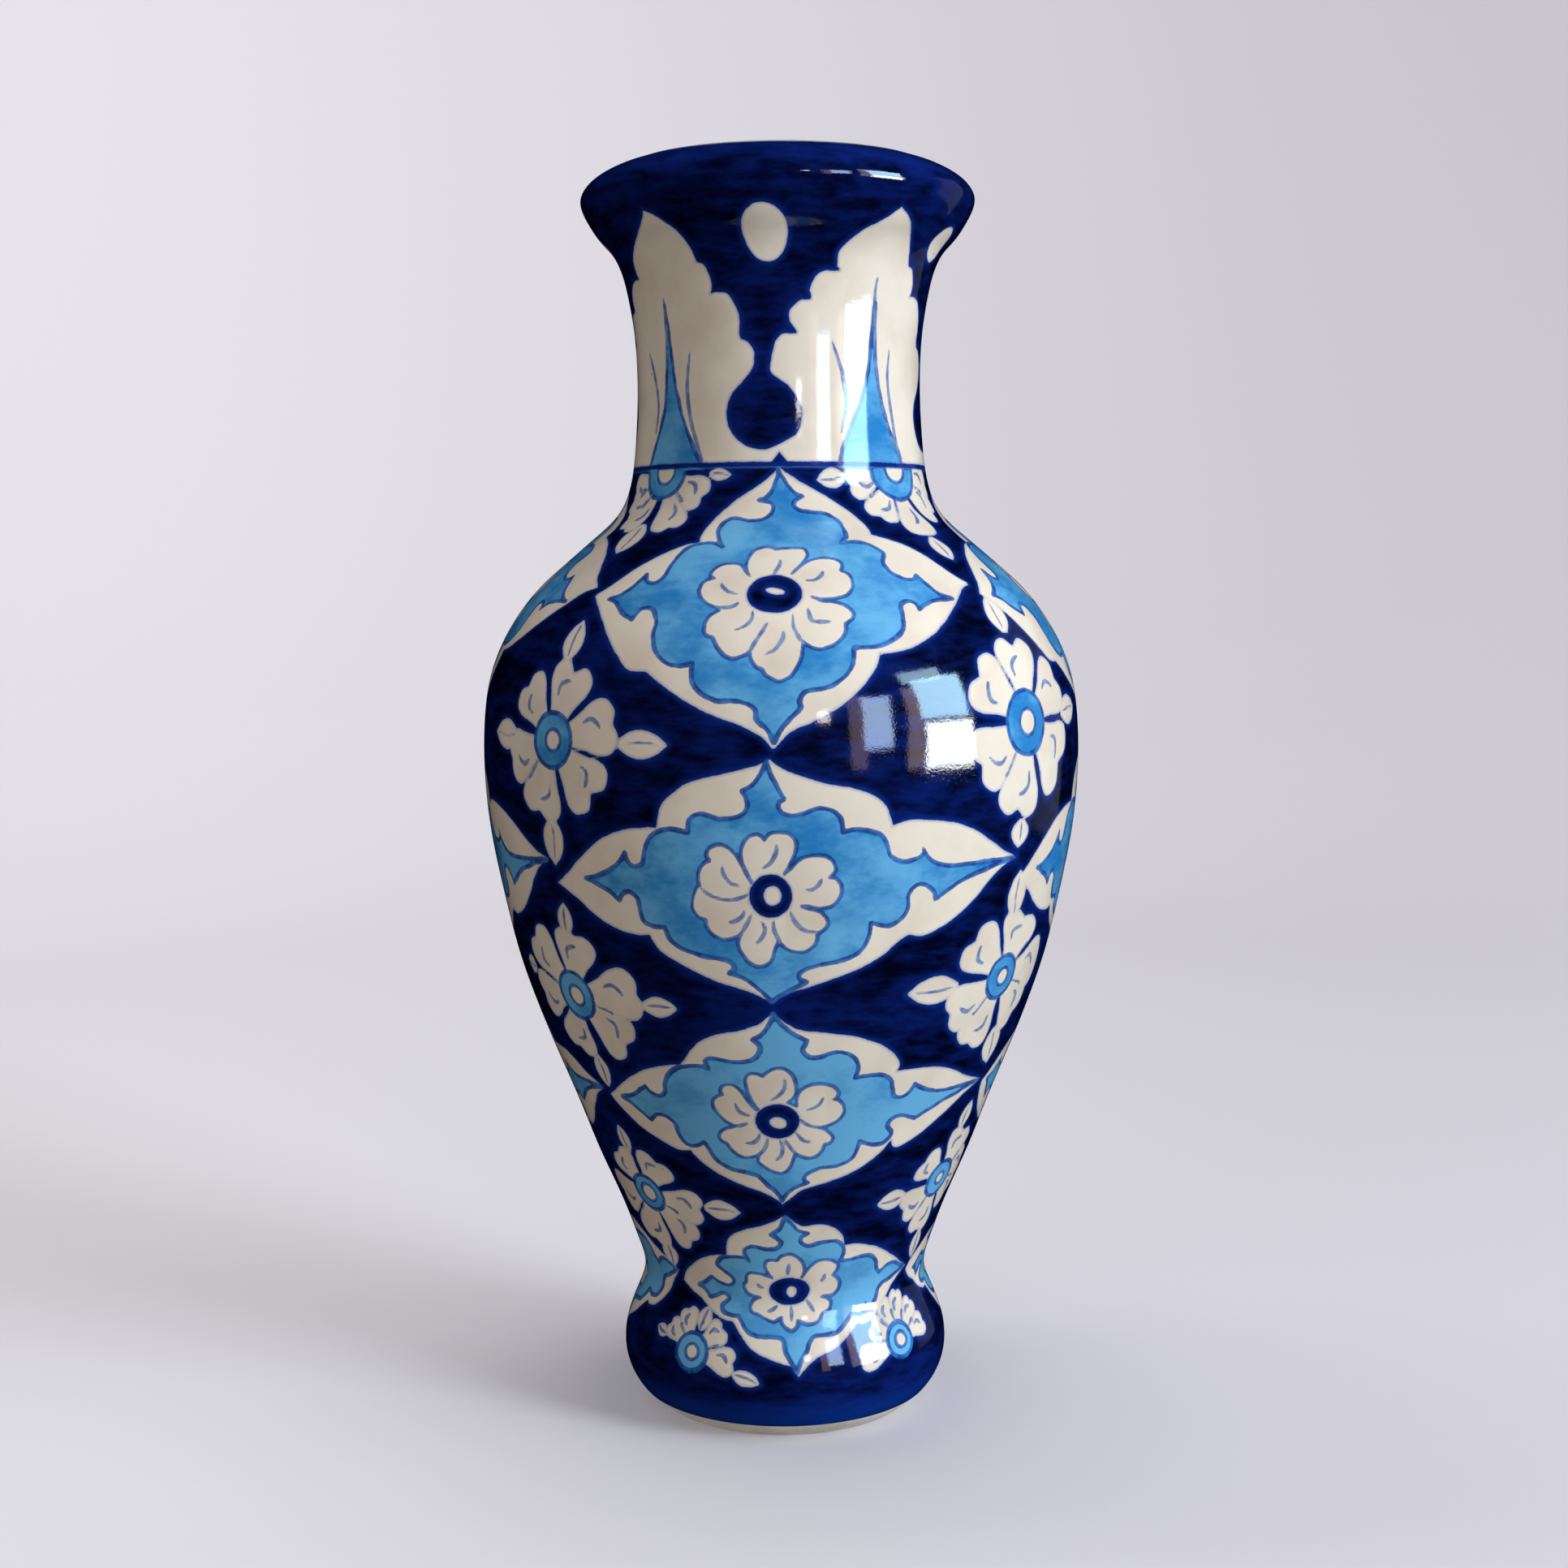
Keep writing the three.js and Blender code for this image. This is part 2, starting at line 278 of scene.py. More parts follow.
PANEL_2_WHITE = [
    [(-2, 178.1), (-0.5, 176.6), (3.2, 174.5), (7.7, 172.7), (12.3, 171.6), (15.9, 169.9), (18.2, 167.4),
     (19.1, 164.9)],
    [(19.5, 163.1), (22.3, 164), (26.8, 163.8), (32.3, 162.7), (36.8, 160.6), (41.4, 157.4), (45, 154.9)],
    [(48.6, 153.2), (45, 151.6), (41.4, 148.4), (38.6, 144.9), (35, 141.3), (31.4, 138.8), (27.3, 137.1)],
    [(24.1, 137.6), (22.3, 136.3), (19.5, 133.4), (15.9, 130.9), (10.5, 128.4), (5, 126.3), (0.5, 124.5)],
    [(-2, 122.4), (-4.1, 123.8), (-7.7, 125.6), (-13.2, 127.7), (-18.6, 130.6), (-23.2, 133.8),
     (-25.2, 136.6)],
    [(-25.5, 137.9), (-28.6, 137.7), (-33.2, 138.8), (-37.7, 141.6), (-41.4, 144.9)],
    [(-46.4, 148.1), (-43.2, 150.6), (-40.5, 153.4), (-36.8, 157), (-33.2, 159.9), (-28.6, 162),
     (-24.1, 162.7)],
    [(-22.1, 162.6), (-21.8, 165.6), (-20.9, 168.4), (-18.6, 170.9), (-16.4, 172.7), (-12.3, 174.3),
     (-6.8, 175.9), (-3.6, 177.1)],
]
PANEL_2_SKY = [
    [(-2.5, 177.9), (-1.8, 174.9), (-0.6, 172)],
    [(0.6, 169.5), (-0.5, 168.4), (0, 166.6), (1.8, 165.9), (4.1, 166.6), (6.8, 167.5), (9.1, 166.6),
     (10.3, 164.5)],
    [(10.6, 162.1), (12.7, 162.6), (15.5, 162.1), (17.7, 160.9), (18.8, 158.4), (19.5, 156.3),
     (21.4, 154.9), (23.6, 155), (25.5, 156.1)],
    [(25.6, 157.6), (27.3, 154.9), (30.9, 153.2), (35.9, 153.1), (41.4, 153.1)],
    [(47.7, 153.1), (41.4, 151.6), (35.9, 149.9), (32.3, 147.7)],
    [(29.1, 145.4), (28.5, 147.4), (26.4, 149.1), (24.5, 148.8), (23.4, 147), (23.6, 144.1),
     (22.3, 141.3), (19.5, 140)],
    [(16.4, 140.9), (16.2, 137.7), (14.5, 134.1), (11.4, 132.4), (6.8, 131.3), (3.6, 129.9), (3.2, 128.4)],
    [(4.6, 127.5), (2.3, 125.9), (0, 124.5)],
    [(-2.3, 122.7), (-3.6, 124.5), (-5.5, 126.6), (-7.7, 128.4)],
    [(-10.2, 129.5), (-9.1, 130.9), (-10.5, 132.6), (-15, 133.4), (-19.1, 134.9), (-21.4, 137)],
    [(-22.3, 139.9), (-24.5, 139.9), (-26.4, 140.9), (-27, 143.4), (-27.3, 146.3), (-28.8, 147.7),
     (-30.3, 147)],
    [(-31.2, 145.2), (-33.2, 147.4), (-36.4, 149.1)],
    [(-38.6, 150), (-35.5, 150.9), (-32.3, 152.7), (-30, 154.9)],
    [(-28.9, 156.9), (-28.5, 154.9), (-27.3, 153.8), (-25.5, 154.5), (-25, 157), (-23.6, 160.6),
     (-20.5, 162.6)],
    [(-16.4, 162.1), (-16.1, 164.9), (-14.1, 166.3), (-10.5, 165.2), (-7.3, 165.9), (-5.9, 167.7),
     (-6.1, 169.9)],
    [(-6.8, 171.4), (-5, 172.7), (-3.6, 175.2)],
]
FLOWER_2_PETALS = [
    [(-3, 160.5), (-2, 161.9), (-0.3, 162.2), (1.4, 161.7), (2.4, 160), (2.2, 157.5), (1.3, 155)],
    [(0.4, 152.8), (1.6, 154.2), (3.4, 156.3), (6, 157), (8, 156.4), (9.2, 155), (9.4, 153.3)],
    [(8.3, 151.9), (9.6, 151.6), (10.5, 149.8), (10.4, 147.5), (9, 145.4), (6.6, 144.9), (4.6, 145.4)],
    [(3.4, 145.4), (4.6, 144.8), (6.6, 144.1), (8, 142.4), (8.2, 140.8), (7, 139.4)],
    [(6.3, 139.2), (6.2, 137.2), (5, 135.3), (3.2, 134.6), (1, 135.3), (-0.6, 137.2)],
    [(-0.9, 137.3), (-1.5, 135.3), (-2.2, 132.6), (-4.2, 131.3), (-6, 132), (-7.7, 134.6), (-8.2, 136.8),
     (-7.6, 139)],
    [(-7.4, 139.3), (-8.6, 138.2), (-11, 137.6), (-13, 138.8), (-14, 140.6)],
    [(-14, 142.1), (-15.4, 142.8), (-16.3, 144.6), (-16.2, 146.8), (-15.4, 149.4)],
    [(-14.8, 150), (-15, 151.6), (-14.6, 153.8), (-13.6, 155.3)],
    [(-12.6, 155.8), (-13.2, 157), (-12.6, 158.6), (-11, 159.4), (-9.4, 158.8), (-8, 157), (-7, 154.6),
     (-6, 152)],
    [(-5.3, 150.8), (-6.2, 153.5), (-7, 156), (-7, 158.6), (-6, 160.9), (-4.6, 161.8), (-3.6, 161.4)],
]
PANEL_3_WHITE = [
    [(-1.8, 119.7), (0.5, 117.2), (3.6, 115.4), (9.1, 114.4), (14.5, 113.3), (20, 111.1), (24.1, 108.3),
     (26.8, 104.7)],
    [(26.5, 102.8), (30.9, 102.8), (38.2, 102.2), (44.5, 100.1), (50, 97.6)],
    [(58.2, 95.1), (52.7, 92.6), (48.2, 89.7), (42.7, 86.1), (38.2, 83.3), (32.7, 81.1), (30.3, 81.5)],
    [(29.4, 83.3), (27.3, 80.8), (23.6, 77.9), (19.1, 75.4), (12.7, 73.3), (5.5, 71.5), (2.7, 69.7)],
    [(-0.5, 67.2), (-2.3, 68.6), (-5.5, 70.4), (-10.9, 72.2), (-16.4, 74.4), (-20.9, 76.9), (-24.1, 79.4)],
    [(-25.6, 81.3), (-29.1, 81.1), (-33.6, 82.6), (-39.1, 85.1), (-42.7, 87.6), (-46.4, 91.1)],
    [(-48.2, 93.6), (-45, 95.4), (-40.9, 98.3), (-36.4, 101.1), (-31.8, 103.3), (-27.3, 104.6)],
    [(-23.6, 105.1), (-21.8, 107.2), (-20, 109.7), (-17.3, 112.2), (-13.6, 114), (-9.1, 115.1),
     (-5, 116.9), (-3.2, 118.6)],
]
PANEL_3_SKY = [
    [(-2, 119.6), (-0.5, 117.2), (1.8, 114.7)],
    [(5, 112.6), (4.1, 110.1), (5.5, 108.3), (7.7, 108.1), (10.5, 109.1), (13.2, 109.1), (15.9, 107.2),
     (16.8, 104.7)],
    [(16.4, 102), (19.1, 102.4), (22.7, 102.2), (25.5, 100.4), (26.4, 97.9), (27.3, 95.8), (29.5, 95.4),
     (31.4, 96.5)],
    [(32.3, 98.6), (34.5, 97.2), (38.2, 95.8), (43.6, 95.1)],
    [(57.3, 95.1), (49.1, 93.3), (43.6, 91.9), (39.1, 90.1)],
    [(35.5, 88.4), (33.6, 89), (30.9, 89.9), (28.2, 89.4), (27.3, 87.6), (29.1, 85.1), (27.3, 82.9),
     (23.6, 82.6)],
    [(20, 84), (19.8, 81.9), (18.2, 79), (14.5, 77.6), (10, 77.2), (6.4, 75.8), (5.6, 74.4)],
    [(6.8, 73.3), (3.6, 72.2), (0.9, 70.4)],
    [(-0.7, 67.9), (-2.3, 70.8), (-4.5, 72.6)],
    [(-7.3, 75.4), (-10, 76.1), (-14.5, 76.9), (-18.2, 79), (-20, 81.9)],
    [(-21.1, 84), (-23.6, 82.7), (-26.4, 82.9), (-28.2, 85.4), (-28.6, 88.3), (-30.9, 90.1),
     (-33.6, 90.1)],
    [(-35.9, 88.3), (-38.2, 90.1), (-40.9, 92.2)],
    [(-43.6, 93.6), (-40, 94.7), (-36.8, 96.5)],
    [(-34.5, 98.1), (-33.2, 96.5), (-30.9, 95.9), (-29.1, 97.2), (-28.6, 99.7), (-26.4, 102.9),
     (-22.7, 104.9), (-18.6, 105.3)],
    [(-16.8, 104.6), (-17.3, 106.9), (-15.5, 107.7), (-10.9, 106.9), (-6.8, 107.6), (-5, 109.7),
     (-5, 111.5)],
    [(-6.5, 112.9), (-4.4, 114.4), (-2.7, 117.2)],
]
FLOWER_3_PETALS = [
    [(-4.6, 103), (-3.6, 104.2), (-1.6, 105.3), (0.4, 105), (2, 103.3), (2.7, 100.8), (2.7, 98.4),
     (1.8, 96.8)],
    [(0.8, 96)],
    [(3.1, 94.8), (3.2, 97.5), (4.2, 99.4), (6.2, 100.6), (9, 100.8), (11.4, 99.9), (12.7, 98.4),
     (12.4, 97)],
    [(11.7, 96.4), (13, 96), (14.4, 94.4), (14.6, 92.4), (13.2, 90.4), (10.8, 89.2)],
    [(8.4, 88.8), (10, 88.2), (11.6, 87), (12.6, 85.7), (12, 84.4)],
    [(10.4, 84), (10, 82.4), (8.6, 80.8), (6.4, 80.3), (4.2, 81)],
    [(2.9, 81.7), (2.4, 79.8), (1.6, 78), (0, 76.4), (-1.4, 76.2), (-3.6, 77), (-6, 78.6), (-6.8, 79.6),
     (-6.4, 81)],
    [(-5.8, 81.9), (-7.6, 81), (-10, 80.5), (-12, 81), (-13.8, 82.4)],
    [(-14.9, 84.3), (-16, 84.8), (-16.6, 86), (-15.8, 87.4), (-14.2, 88.4), (-12.4, 88.9)],
    [(-12, 89.2), (-12.6, 89.4), (-14.4, 90.4), (-16.2, 92.6), (-17, 95), (-16.4, 96.6), (-14.9, 97.6)],
    [(-14.2, 97.8), (-14.6, 98.8), (-14.1, 100), (-12.4, 100.7), (-10.8, 100), (-9.4, 98), (-8, 95.6),
     (-6.6, 93.9)],
    [(-6, 93.8), (-7, 95.4), (-8, 98), (-8.5, 101), (-8.3, 102.9), (-7.4, 103.8), (-5.8, 103.7)],
]
PANEL_4_WHITE = [
    [(0.5, 63.7), (3.6, 61.4), (6.4, 60.4), (11.8, 60.7), (16.4, 59.3), (19.5, 56.8)],
    [(20.9, 53.9), (26.4, 53.7), (31.8, 52.5), (37.3, 50.7), (43.6, 47.9), (49.1, 45.4)],
    [(54.1, 43.2), (48.2, 40), (44.5, 37.5), (40, 35), (35.5, 32.9), (30.9, 31.9)],
    [(28.2, 32.3), (25.9, 31.1), (21.8, 28.9), (16.4, 26.8), (10.9, 25.4), (6.4, 22.9)],
    [(4.5, 21.4), (2.3, 23.6), (-0.9, 24.3), (-5.5, 25.4), (-10.9, 27.1), (-15.5, 30), (-18.6, 32.5)],
    [(-20, 33.6), (-24.5, 33.9), (-30, 35.7), (-34.5, 37.9), (-39.1, 39.3)],
    [(-43.2, 41.4), (-40.9, 43.9), (-36.4, 46.8), (-30.9, 49.3), (-25.5, 50.7)],
    [(-20.9, 51.2), (-20.5, 53.6), (-19.1, 56.1), (-16.4, 57.9), (-12.7, 59.3), (-8.2, 60.4),
     (-3.6, 61.8), (-0.9, 63.2)],
]
PANEL_4_SKY = [
    [(0.3, 63.4), (2.3, 61.4), (4.5, 59.3)],
    [(7.7, 58.2), (5.6, 57.1), (5.6, 55.7), (8.2, 54.6), (12.7, 55.4), (17.3, 55.4), (20.5, 53.6),
     (21.1, 51.4)],
    [(20, 49.3), (23.6, 49.4), (29.1, 49.9), (33.2, 49.3), (35.9, 47.5), (36.8, 45.4)],
    [(38.6, 43.9), (41.8, 45.4), (45.5, 45.7), (49.1, 44.6)],
    [(52.7, 43.2), (46.4, 41.4), (41.8, 40.6), (39.5, 39.3), (38.2, 37.1), (34.5, 35), (30, 34.1)],
    [(26.4, 34.6), (23.6, 32.9), (20, 31.1), (15.5, 30.6), (10.5, 30.4), (8.6, 28.9), (7.7, 27.1),
     (5.5, 25)],
    [(4.1, 22.3), (2.3, 24.3), (0, 27.1), (-0.9, 30), (-4.5, 30.5), (-10, 30.6), (-14.5, 31.8),
     (-17.3, 34.3)],
    [(-18.2, 35), (-21.8, 35), (-24.5, 35.7), (-25, 37.1), (-22.7, 38.6), (-22.3, 39.4), (-24.5, 40.1),
     (-28.2, 39.1)],
    [(-30.5, 38.6), (-32.7, 40.4)],
    [(-35.5, 41.2), (-31.8, 42.5)],
    [(-28.6, 44.4), (-25.9, 43.2), (-22.7, 42.5), (-20.2, 43.2), (-20, 44.6), (-23.6, 46.8),
     (-25.3, 48.2), (-22.7, 50.4), (-18.2, 51.1), (-14.1, 50.9)],
    [(-12.7, 50), (-14.1, 52.1), (-13.6, 53.6), (-10.9, 54.4), (-6.4, 53.7), (-2.7, 54.1), (-1.2, 55.7),
     (-2.7, 57.1)],
    [(-4.4, 58), (-1.8, 59.6), (-0.5, 62.1)],
]
FLOWER_4_PETALS = [
    [(-2.6, 50.4), (-1.4, 51.5), (0.6, 52.1), (3, 51.9), (5.4, 50.6), (6.8, 48.6), (7, 46.8)],
    [(6.3, 45.4), (7.6, 46.8), (9.6, 48.6), (12, 49.9), (15, 50.1), (17.8, 49.4), (19.5, 48.4),
     (19.3, 46.9)],
    [(18, 45.4), (19.8, 44.6), (21.2, 43), (20.6, 41.2), (18.6, 40), (15.6, 39.9)],
    [(14, 39.8), (16.4, 39.2), (18, 38.2), (17.4, 36.6)],
    [(15.8, 36), (14.4, 35.6), (12.6, 34), (9.6, 33.4), (6.6, 33.8)],
    [(4.9, 34.3), (4.4, 33), (2.4, 32), (0.4, 32.7), (-1.2, 34)],
    [(-1.4, 35.1), (-2.4, 34.8), (-4.4, 34.1), (-7, 34.6), (-10, 35.6), (-12.6, 36.2), (-13.3, 37.2),
     (-12.6, 38.6), (-10.8, 39.6)],
    [(-9.6, 39.8), (-12.4, 40.2), (-14.6, 41), (-15.6, 42.6), (-14.4, 44)],
    [(-14.3, 45), (-14, 45.9), (-12.4, 46.6), (-9, 46.4), (-6.6, 45.8)],
    [(-4.6, 45.3), (-5.8, 46.4), (-6.9, 48.4), (-6.4, 50), (-4.6, 50.5), (-3, 50.3)],
]
FLOWER_1_LINES = [
    [(0.1, 227.8), (-0.1, 226), (-1, 224), (-1.4, 223)],
    [(10, 224), (9.4, 222.4), (7.6, 220.9), (5.8, 220.9)],
    [(5.6, 212.8), (5.8, 210.5), (6.2, 209.2)],
    [(6, 209.2), (9.8, 209.1)],
    [(2.4, 211.3), (2.5, 208), (3.6, 205), (4.6, 203.6)],
    [(-2.5, 209), (-3.6, 206.5), (-4.8, 204), (-5.6, 202)],
    [(-13.4, 213.3), (-11, 213), (-9.4, 213.5), (-8.6, 214.4)],
    [(0.6, 206.8), (0.4, 205), (-1, 202.4), (-2.8, 201.3)],
    [(-5.5, 212), (-5.6, 210), (-6.8, 208.2), (-8.8, 207)],
    [(-13, 220), (-12.2, 218.6), (-10.8, 217.4), (-9, 217)],
]
FLOWER_2_LINES = [
    [(-0.9, 159.6), (-1, 157.8), (-1.9, 155.5), (-3.3, 154.2)],
    [(7, 151.6), (6.4, 150.2), (5.3, 149.2), (4.2, 149.2)],
    [(3.4, 145.4), (5, 145.3)],
    [(1.4, 144.3), (2.2, 142), (3.8, 139.9), (6, 139.3)],
    [(-1.7, 142.3), (-1.4, 139.6), (-0.4, 137)],
    [(-3.9, 142), (-3.2, 140.4), (-3.6, 138.4), (-4.8, 136.8)],
    [(-5.6, 143.6), (-6.3, 141.6), (-7.4, 139.4)],
    [(-6.7, 144.8), (-7.3, 143), (-8.6, 141.9), (-9.7, 141.6)],
    [(-14.9, 150), (-13.6, 148.4), (-11.6, 147.2), (-9, 146.9), (-7, 147.6), (-6, 148.2)],
    [(-10.6, 154.6), (-10.2, 152.4), (-9, 150.7), (-7.6, 150.2)],
]
FLOWER_3_LINES = [
    [(0.3, 102.4), (0.2, 100), (-1, 98), (-3.1, 96.5)],
    [(9.4, 97.3), (8.6, 95.4), (7.2, 94.3), (5.4, 93.7)],
    [(4, 91.2), (5.4, 89.9), (7.4, 89), (9, 88.9)],
    [(3, 87.6), (4, 86.2), (5.4, 85), (6.8, 84.8)],
    [(0.2, 85.6), (1.2, 84), (2.4, 82.4), (3.6, 81.4)],
    [(-1.1, 85.5), (-0.4, 83.6), (-0.6, 81.4), (-2, 79.8)],
    [(-4.1, 86), (-4.5, 84), (-5.6, 82.2), (-7, 81.2)],
    [(-6.1, 87.2), (-6.6, 85.8), (-8, 84.6), (-9.8, 84.4)],
    [(-12.5, 89.2), (-11, 89.3), (-9, 90)],
    [(-11.5, 95.6), (-11, 93.8), (-10, 92.8), (-8.4, 92.2)],
]
FLOWER_4_LINES = [
    [(1.5, 49.4), (1.2, 47.8), (1, 46.5)],
    [(14.9, 46), (14.6, 44.8), (13.8, 44)],
    [(8.4, 39.2), (9.8, 37.8), (11.2, 36.4)],
    [(2.3, 37.8), (2.5, 36), (2.4, 34.4)],
    [(-10.4, 43.6), (-9.6, 42.7), (-8, 42.4)],
    [(-3, 37.9), (-4.6, 37), (-6.4, 36.5)],
]

# The four levels of panels from the neck down, with their left and right tips in degrees. The heart of a
# flower and the pale dot in it are ellipses: centre (degrees, mm), half-width in degrees, half-height in mm,
# tilt in degrees.
PANELS = [
    {
        "white": PANEL_1_WHITE,
        "sky": PANEL_1_SKY,
        "petals": FLOWER_1_PETALS,
        "lines": FLOWER_1_LINES,
        "heart": (-1.2, 217.1, 5.9, 5.6, 0),
        "dot": (-1, 217.6, 2.1, 0.9, -14),
        "tips": (-44.3, 47.8),
    },
    {
        "white": PANEL_2_WHITE,
        "sky": PANEL_2_SKY,
        "petals": FLOWER_2_PETALS,
        "lines": FLOWER_2_LINES,
        "heart": (-2.05, 147.8, 3.85, 5.05, 0),
        "dot": (-1.7, 147.9, 1.55, 2.25, 0),
        "tips": (-46.4, 48.6),
    },
    {
        "white": PANEL_3_WHITE,
        "sky": PANEL_3_SKY,
        "petals": FLOWER_3_PETALS,
        "lines": FLOWER_3_LINES,
        "heart": (-1.55, 90.7, 5.4, 4.85, 0),
        "dot": (-1.4, 90.3, 2.2, 1.5, -20),
        "tips": (-48.2, 58.2),
    },
    {
        "white": PANEL_4_WHITE,
        "sky": PANEL_4_SKY,
        "petals": FLOWER_4_PETALS,
        "lines": FLOWER_4_LINES,
        "heart": (1.7, 41.7, 7.85, 3.7, 0),
        "dot": (2.5, 41.5, 1.9, 1.4, 0),
        "tips": (-43.2, 54.1),
    },
]
TIP_GAP = 1.5  # degrees of ground between the points of two panels

# Flowers between the panels, in mm from their own centres. Each has its place (degrees, mm), the radii of
# its ring and dot, petals as (direction in degrees from the right, reach, width, notch) and leaves as
# (direction, nearest, farthest, width). The top ones are cut off below the line round the foot of the neck.
RIGHT_FLOWERS = [
    {"at": (48.5, 255.2), "ring": 7.6, "dot": 3.3, "below": 255.6,
     "petals": [(197, 15, 8, 0.6), (236, 16, 8, 0.8), (272, 19, 8.5, 0), (-45, 17, 9, 1),
                (-14, 16, 7.5, 0.5)],
     "leaves": [(188, 15, 22, 5), (272, 19.5, 28, 4.5)]},
    {"at": (50.2, 184), "ring": 7.4, "dot": 3,
     "petals": [(88, 19.8, 14.5, 1.8), (29, 20.4, 13.5, 1.4), (-35, 20, 18, 2.2), (-100, 21.6, 14, 1.6),
                (209, 19.8, 14.5, 1.6), (143, 20, 14, 1.8)],
     "leaves": [(90, 21.2, 31.5, 8), (4, 17.5, 30, 7), (-94, 22, 29, 6.5)]},
    {"at": (51.5, 123.5), "ring": 5.5, "dot": 2.1,
     "petals": [(72, 16, 15, 0.9), (5, 19, 12.5, 0), (-42, 18, 12.5, 0.8), (-110, 18.3, 12.5, 0.7),
                (205, 18.4, 12, 0.8), (140, 17.6, 12.5, 1.3)],
     "leaves": [(92, 14.8, 26.5, 6.5), (181, 15.5, 29.5, 7), (-72, 14.5, 25.5, 8)]},
    {"at": (56, 67.8), "ring": 5, "dot": 1.6,
     "petals": [(72, 14, 10.5, 1), (15, 11.5, 9, 0.5), (-35, 12, 9.5, 0.6), (-95, 15.2, 9.5, 0.6),
                (212, 13.6, 10, 0.8), (143, 11.6, 9, 0.5)],
     "leaves": [(84, 13.4, 21.3, 4.6), (189, 12.2, 20.8, 5.6), (-88, 15, 23, 5)]},
    {"at": (45.5, 26), "ring": 4.2, "dot": 1.8,
     "petals": [(148, 9.8, 6, 0.4), (108, 11, 5, 0.4), (76, 12, 5, 0.4), (44, 11.6, 5, 0.4),
                (192, 13, 6.2, 0.5), (10, 11.4, 5.6, 0.4)],
     "leaves": [(128, 9.5, 14.5, 3.2)]},
]
LEFT_FLOWERS = [
    {"at": (-48, 254.8), "ring": 6.6, "dot": 3, "below": 255.6,
     "petals": [(200, 13.6, 7, 0.5), (226, 15, 7, 0.5), (248, 17.4, 7, 0.6), (-65, 17.8, 8, 0.8),
                (-28, 14.6, 8.5, 0.8)],
     "leaves": [(268, 14, 24.5, 6), (-4, 13.5, 19, 3)]},
    {"at": (-45, 181), "ring": 6.3, "dot": 2.4,
     "petals": [(72, 18.4, 13, 2.2), (13, 19.6, 12, 0.9), (-43, 18.6, 13.5, 2), (-108, 18.4, 13.5, 1.2),
                (198, 18, 12, 0.6), (133, 17.4, 11.5, 1.1)],
     "leaves": [(86, 18.2, 28.5, 6.8), (179, 14, 27, 7), (0, 19.6, 32, 6.4), (-93, 17.6, 29, 7)]},
    {"at": (-48.5, 120), "ring": 6.1, "dot": 2.5,
     "petals": [(74, 16.8, 12.5, 0.9), (8, 20.8, 12.5, 0.7), (-40, 18.6, 13, 1.4), (-112, 16.4, 12.5, 0.8),
                (187, 17.4, 11.5, 0.9), (133, 18.8, 12, 1)],
     "leaves": [(83, 15.4, 23.6, 4.8), (0, 20.8, 30, 5.2), (-88, 15.6, 24.6, 5.6), (165, 17, 22, 5)]},
    {"at": (-47, 66), "ring": 5, "dot": 2.4,
     "petals": [(58, 12.6, 10.5, 0.8), (-8, 16.4, 9.5, 1), (-50, 16.8, 9.5, 0.8), (-108, 16, 12, 0.8),
                (192, 15.2, 11, 0.6), (125, 12.6, 9.5, 0.5)],
     "leaves": [(98, 11.2, 18.8, 3.8), (-4, 16.8, 26, 5.8), (-90, 14.6, 21.4, 6.4)]},
    {"at": (-35, 25), "ring": 4.5, "dot": 1.8,
     "petals": [(148, 10.2, 5.4, 0.4), (110, 10.6, 5.8, 0.4), (40, 10.6, 6.4, 0.5), (-6, 12, 6.6, 0.5)],
     "leaves": [(75, 5.5, 11.8, 4.4), (-17, 12, 19, 3.8), (165, 9, 13.5, 3)]},
]

# The neck: a drop of ground hangs between two leaves. Each edge is read downwards from a leaf's point, in
# degrees from that point.
NECK_TURN = -0.5  # degrees the neck's painting stands off the panels below it
NECK_LINE = 256.0  # mm, the line round the foot of the neck
NECK_LINE_POINT = (4, 2.8)  # half-width in degrees and height in mm of the points on that line
LEAF_POINTS = [-43.9, 38.6, 131, 223.5]  # degrees
NECK_COBALT = 318.5  # mm, above which the neck is cobalt all round
DROP_MIDDLE = -2.7  # degrees a drop hangs off the middle between two leaves' points
DROP_NECK = (3.2, 280)  # where the drop's neck joins the right edge: degrees off its middle, mm
EDGE_LEFT = [
    [(0, 316.5), (4.6, 314.6), (8.9, 311.3), (12.5, 306.7)],
    [(14.6, 302.3), (17.5, 301.3), (19.3, 298.3), (19.3, 295.8)],
    [(18.6, 294.8), (21, 295.2), (25.3, 294.6), (28.2, 292.1), (29.6, 289.2), (29.3, 285.8)],
    [(29.9, 284.6), (33.2, 283.5), (35.6, 280.8)],
]
EDGE_RIGHT = [
    [(0, 315.4), (-3.6, 312.9), (-8.6, 310), (-13.6, 306.7), (-16.5, 304.2), (-16.5, 300.8)],
    [(-15.7, 299.8), (-21.5, 299.6), (-25, 297.9), (-26.5, 295.4)],
    [(-26, 293.3), (-30, 292.9), (-33.6, 290.8), (-33.9, 288.3)],
    [(-31, 285.7), (-36.5, 285.4), (-39.3, 283.8)],
]
DROP = [
    (3.2, 281.5), (-2.9, 281.8), (-3.9, 278.2), (-8.2, 275), (-12.5, 272.1), (-14.6, 268.3), (-13.6, 264.6),
    (-10.3, 261.7), (-5.3, 259.8), (0.4, 259.3), (4.4, 260), (12.5, 262.9), (14.7, 266.7), (14, 270),
    (10.4, 273.3), (6.1, 275.4), (2.8, 277.3),
]
# White ovals on the neck's cobalt, as ellipses like a flower's heart.
OVALS = [
    (-3.6, 308.8, 7.3, 7.2, 8),
    (70.4, 309.3, 6.4, 4.8, -20),
    (176, 308.6, 6.8, 6.4, 6),
    (268, 309, 7, 6.6, -6),
]
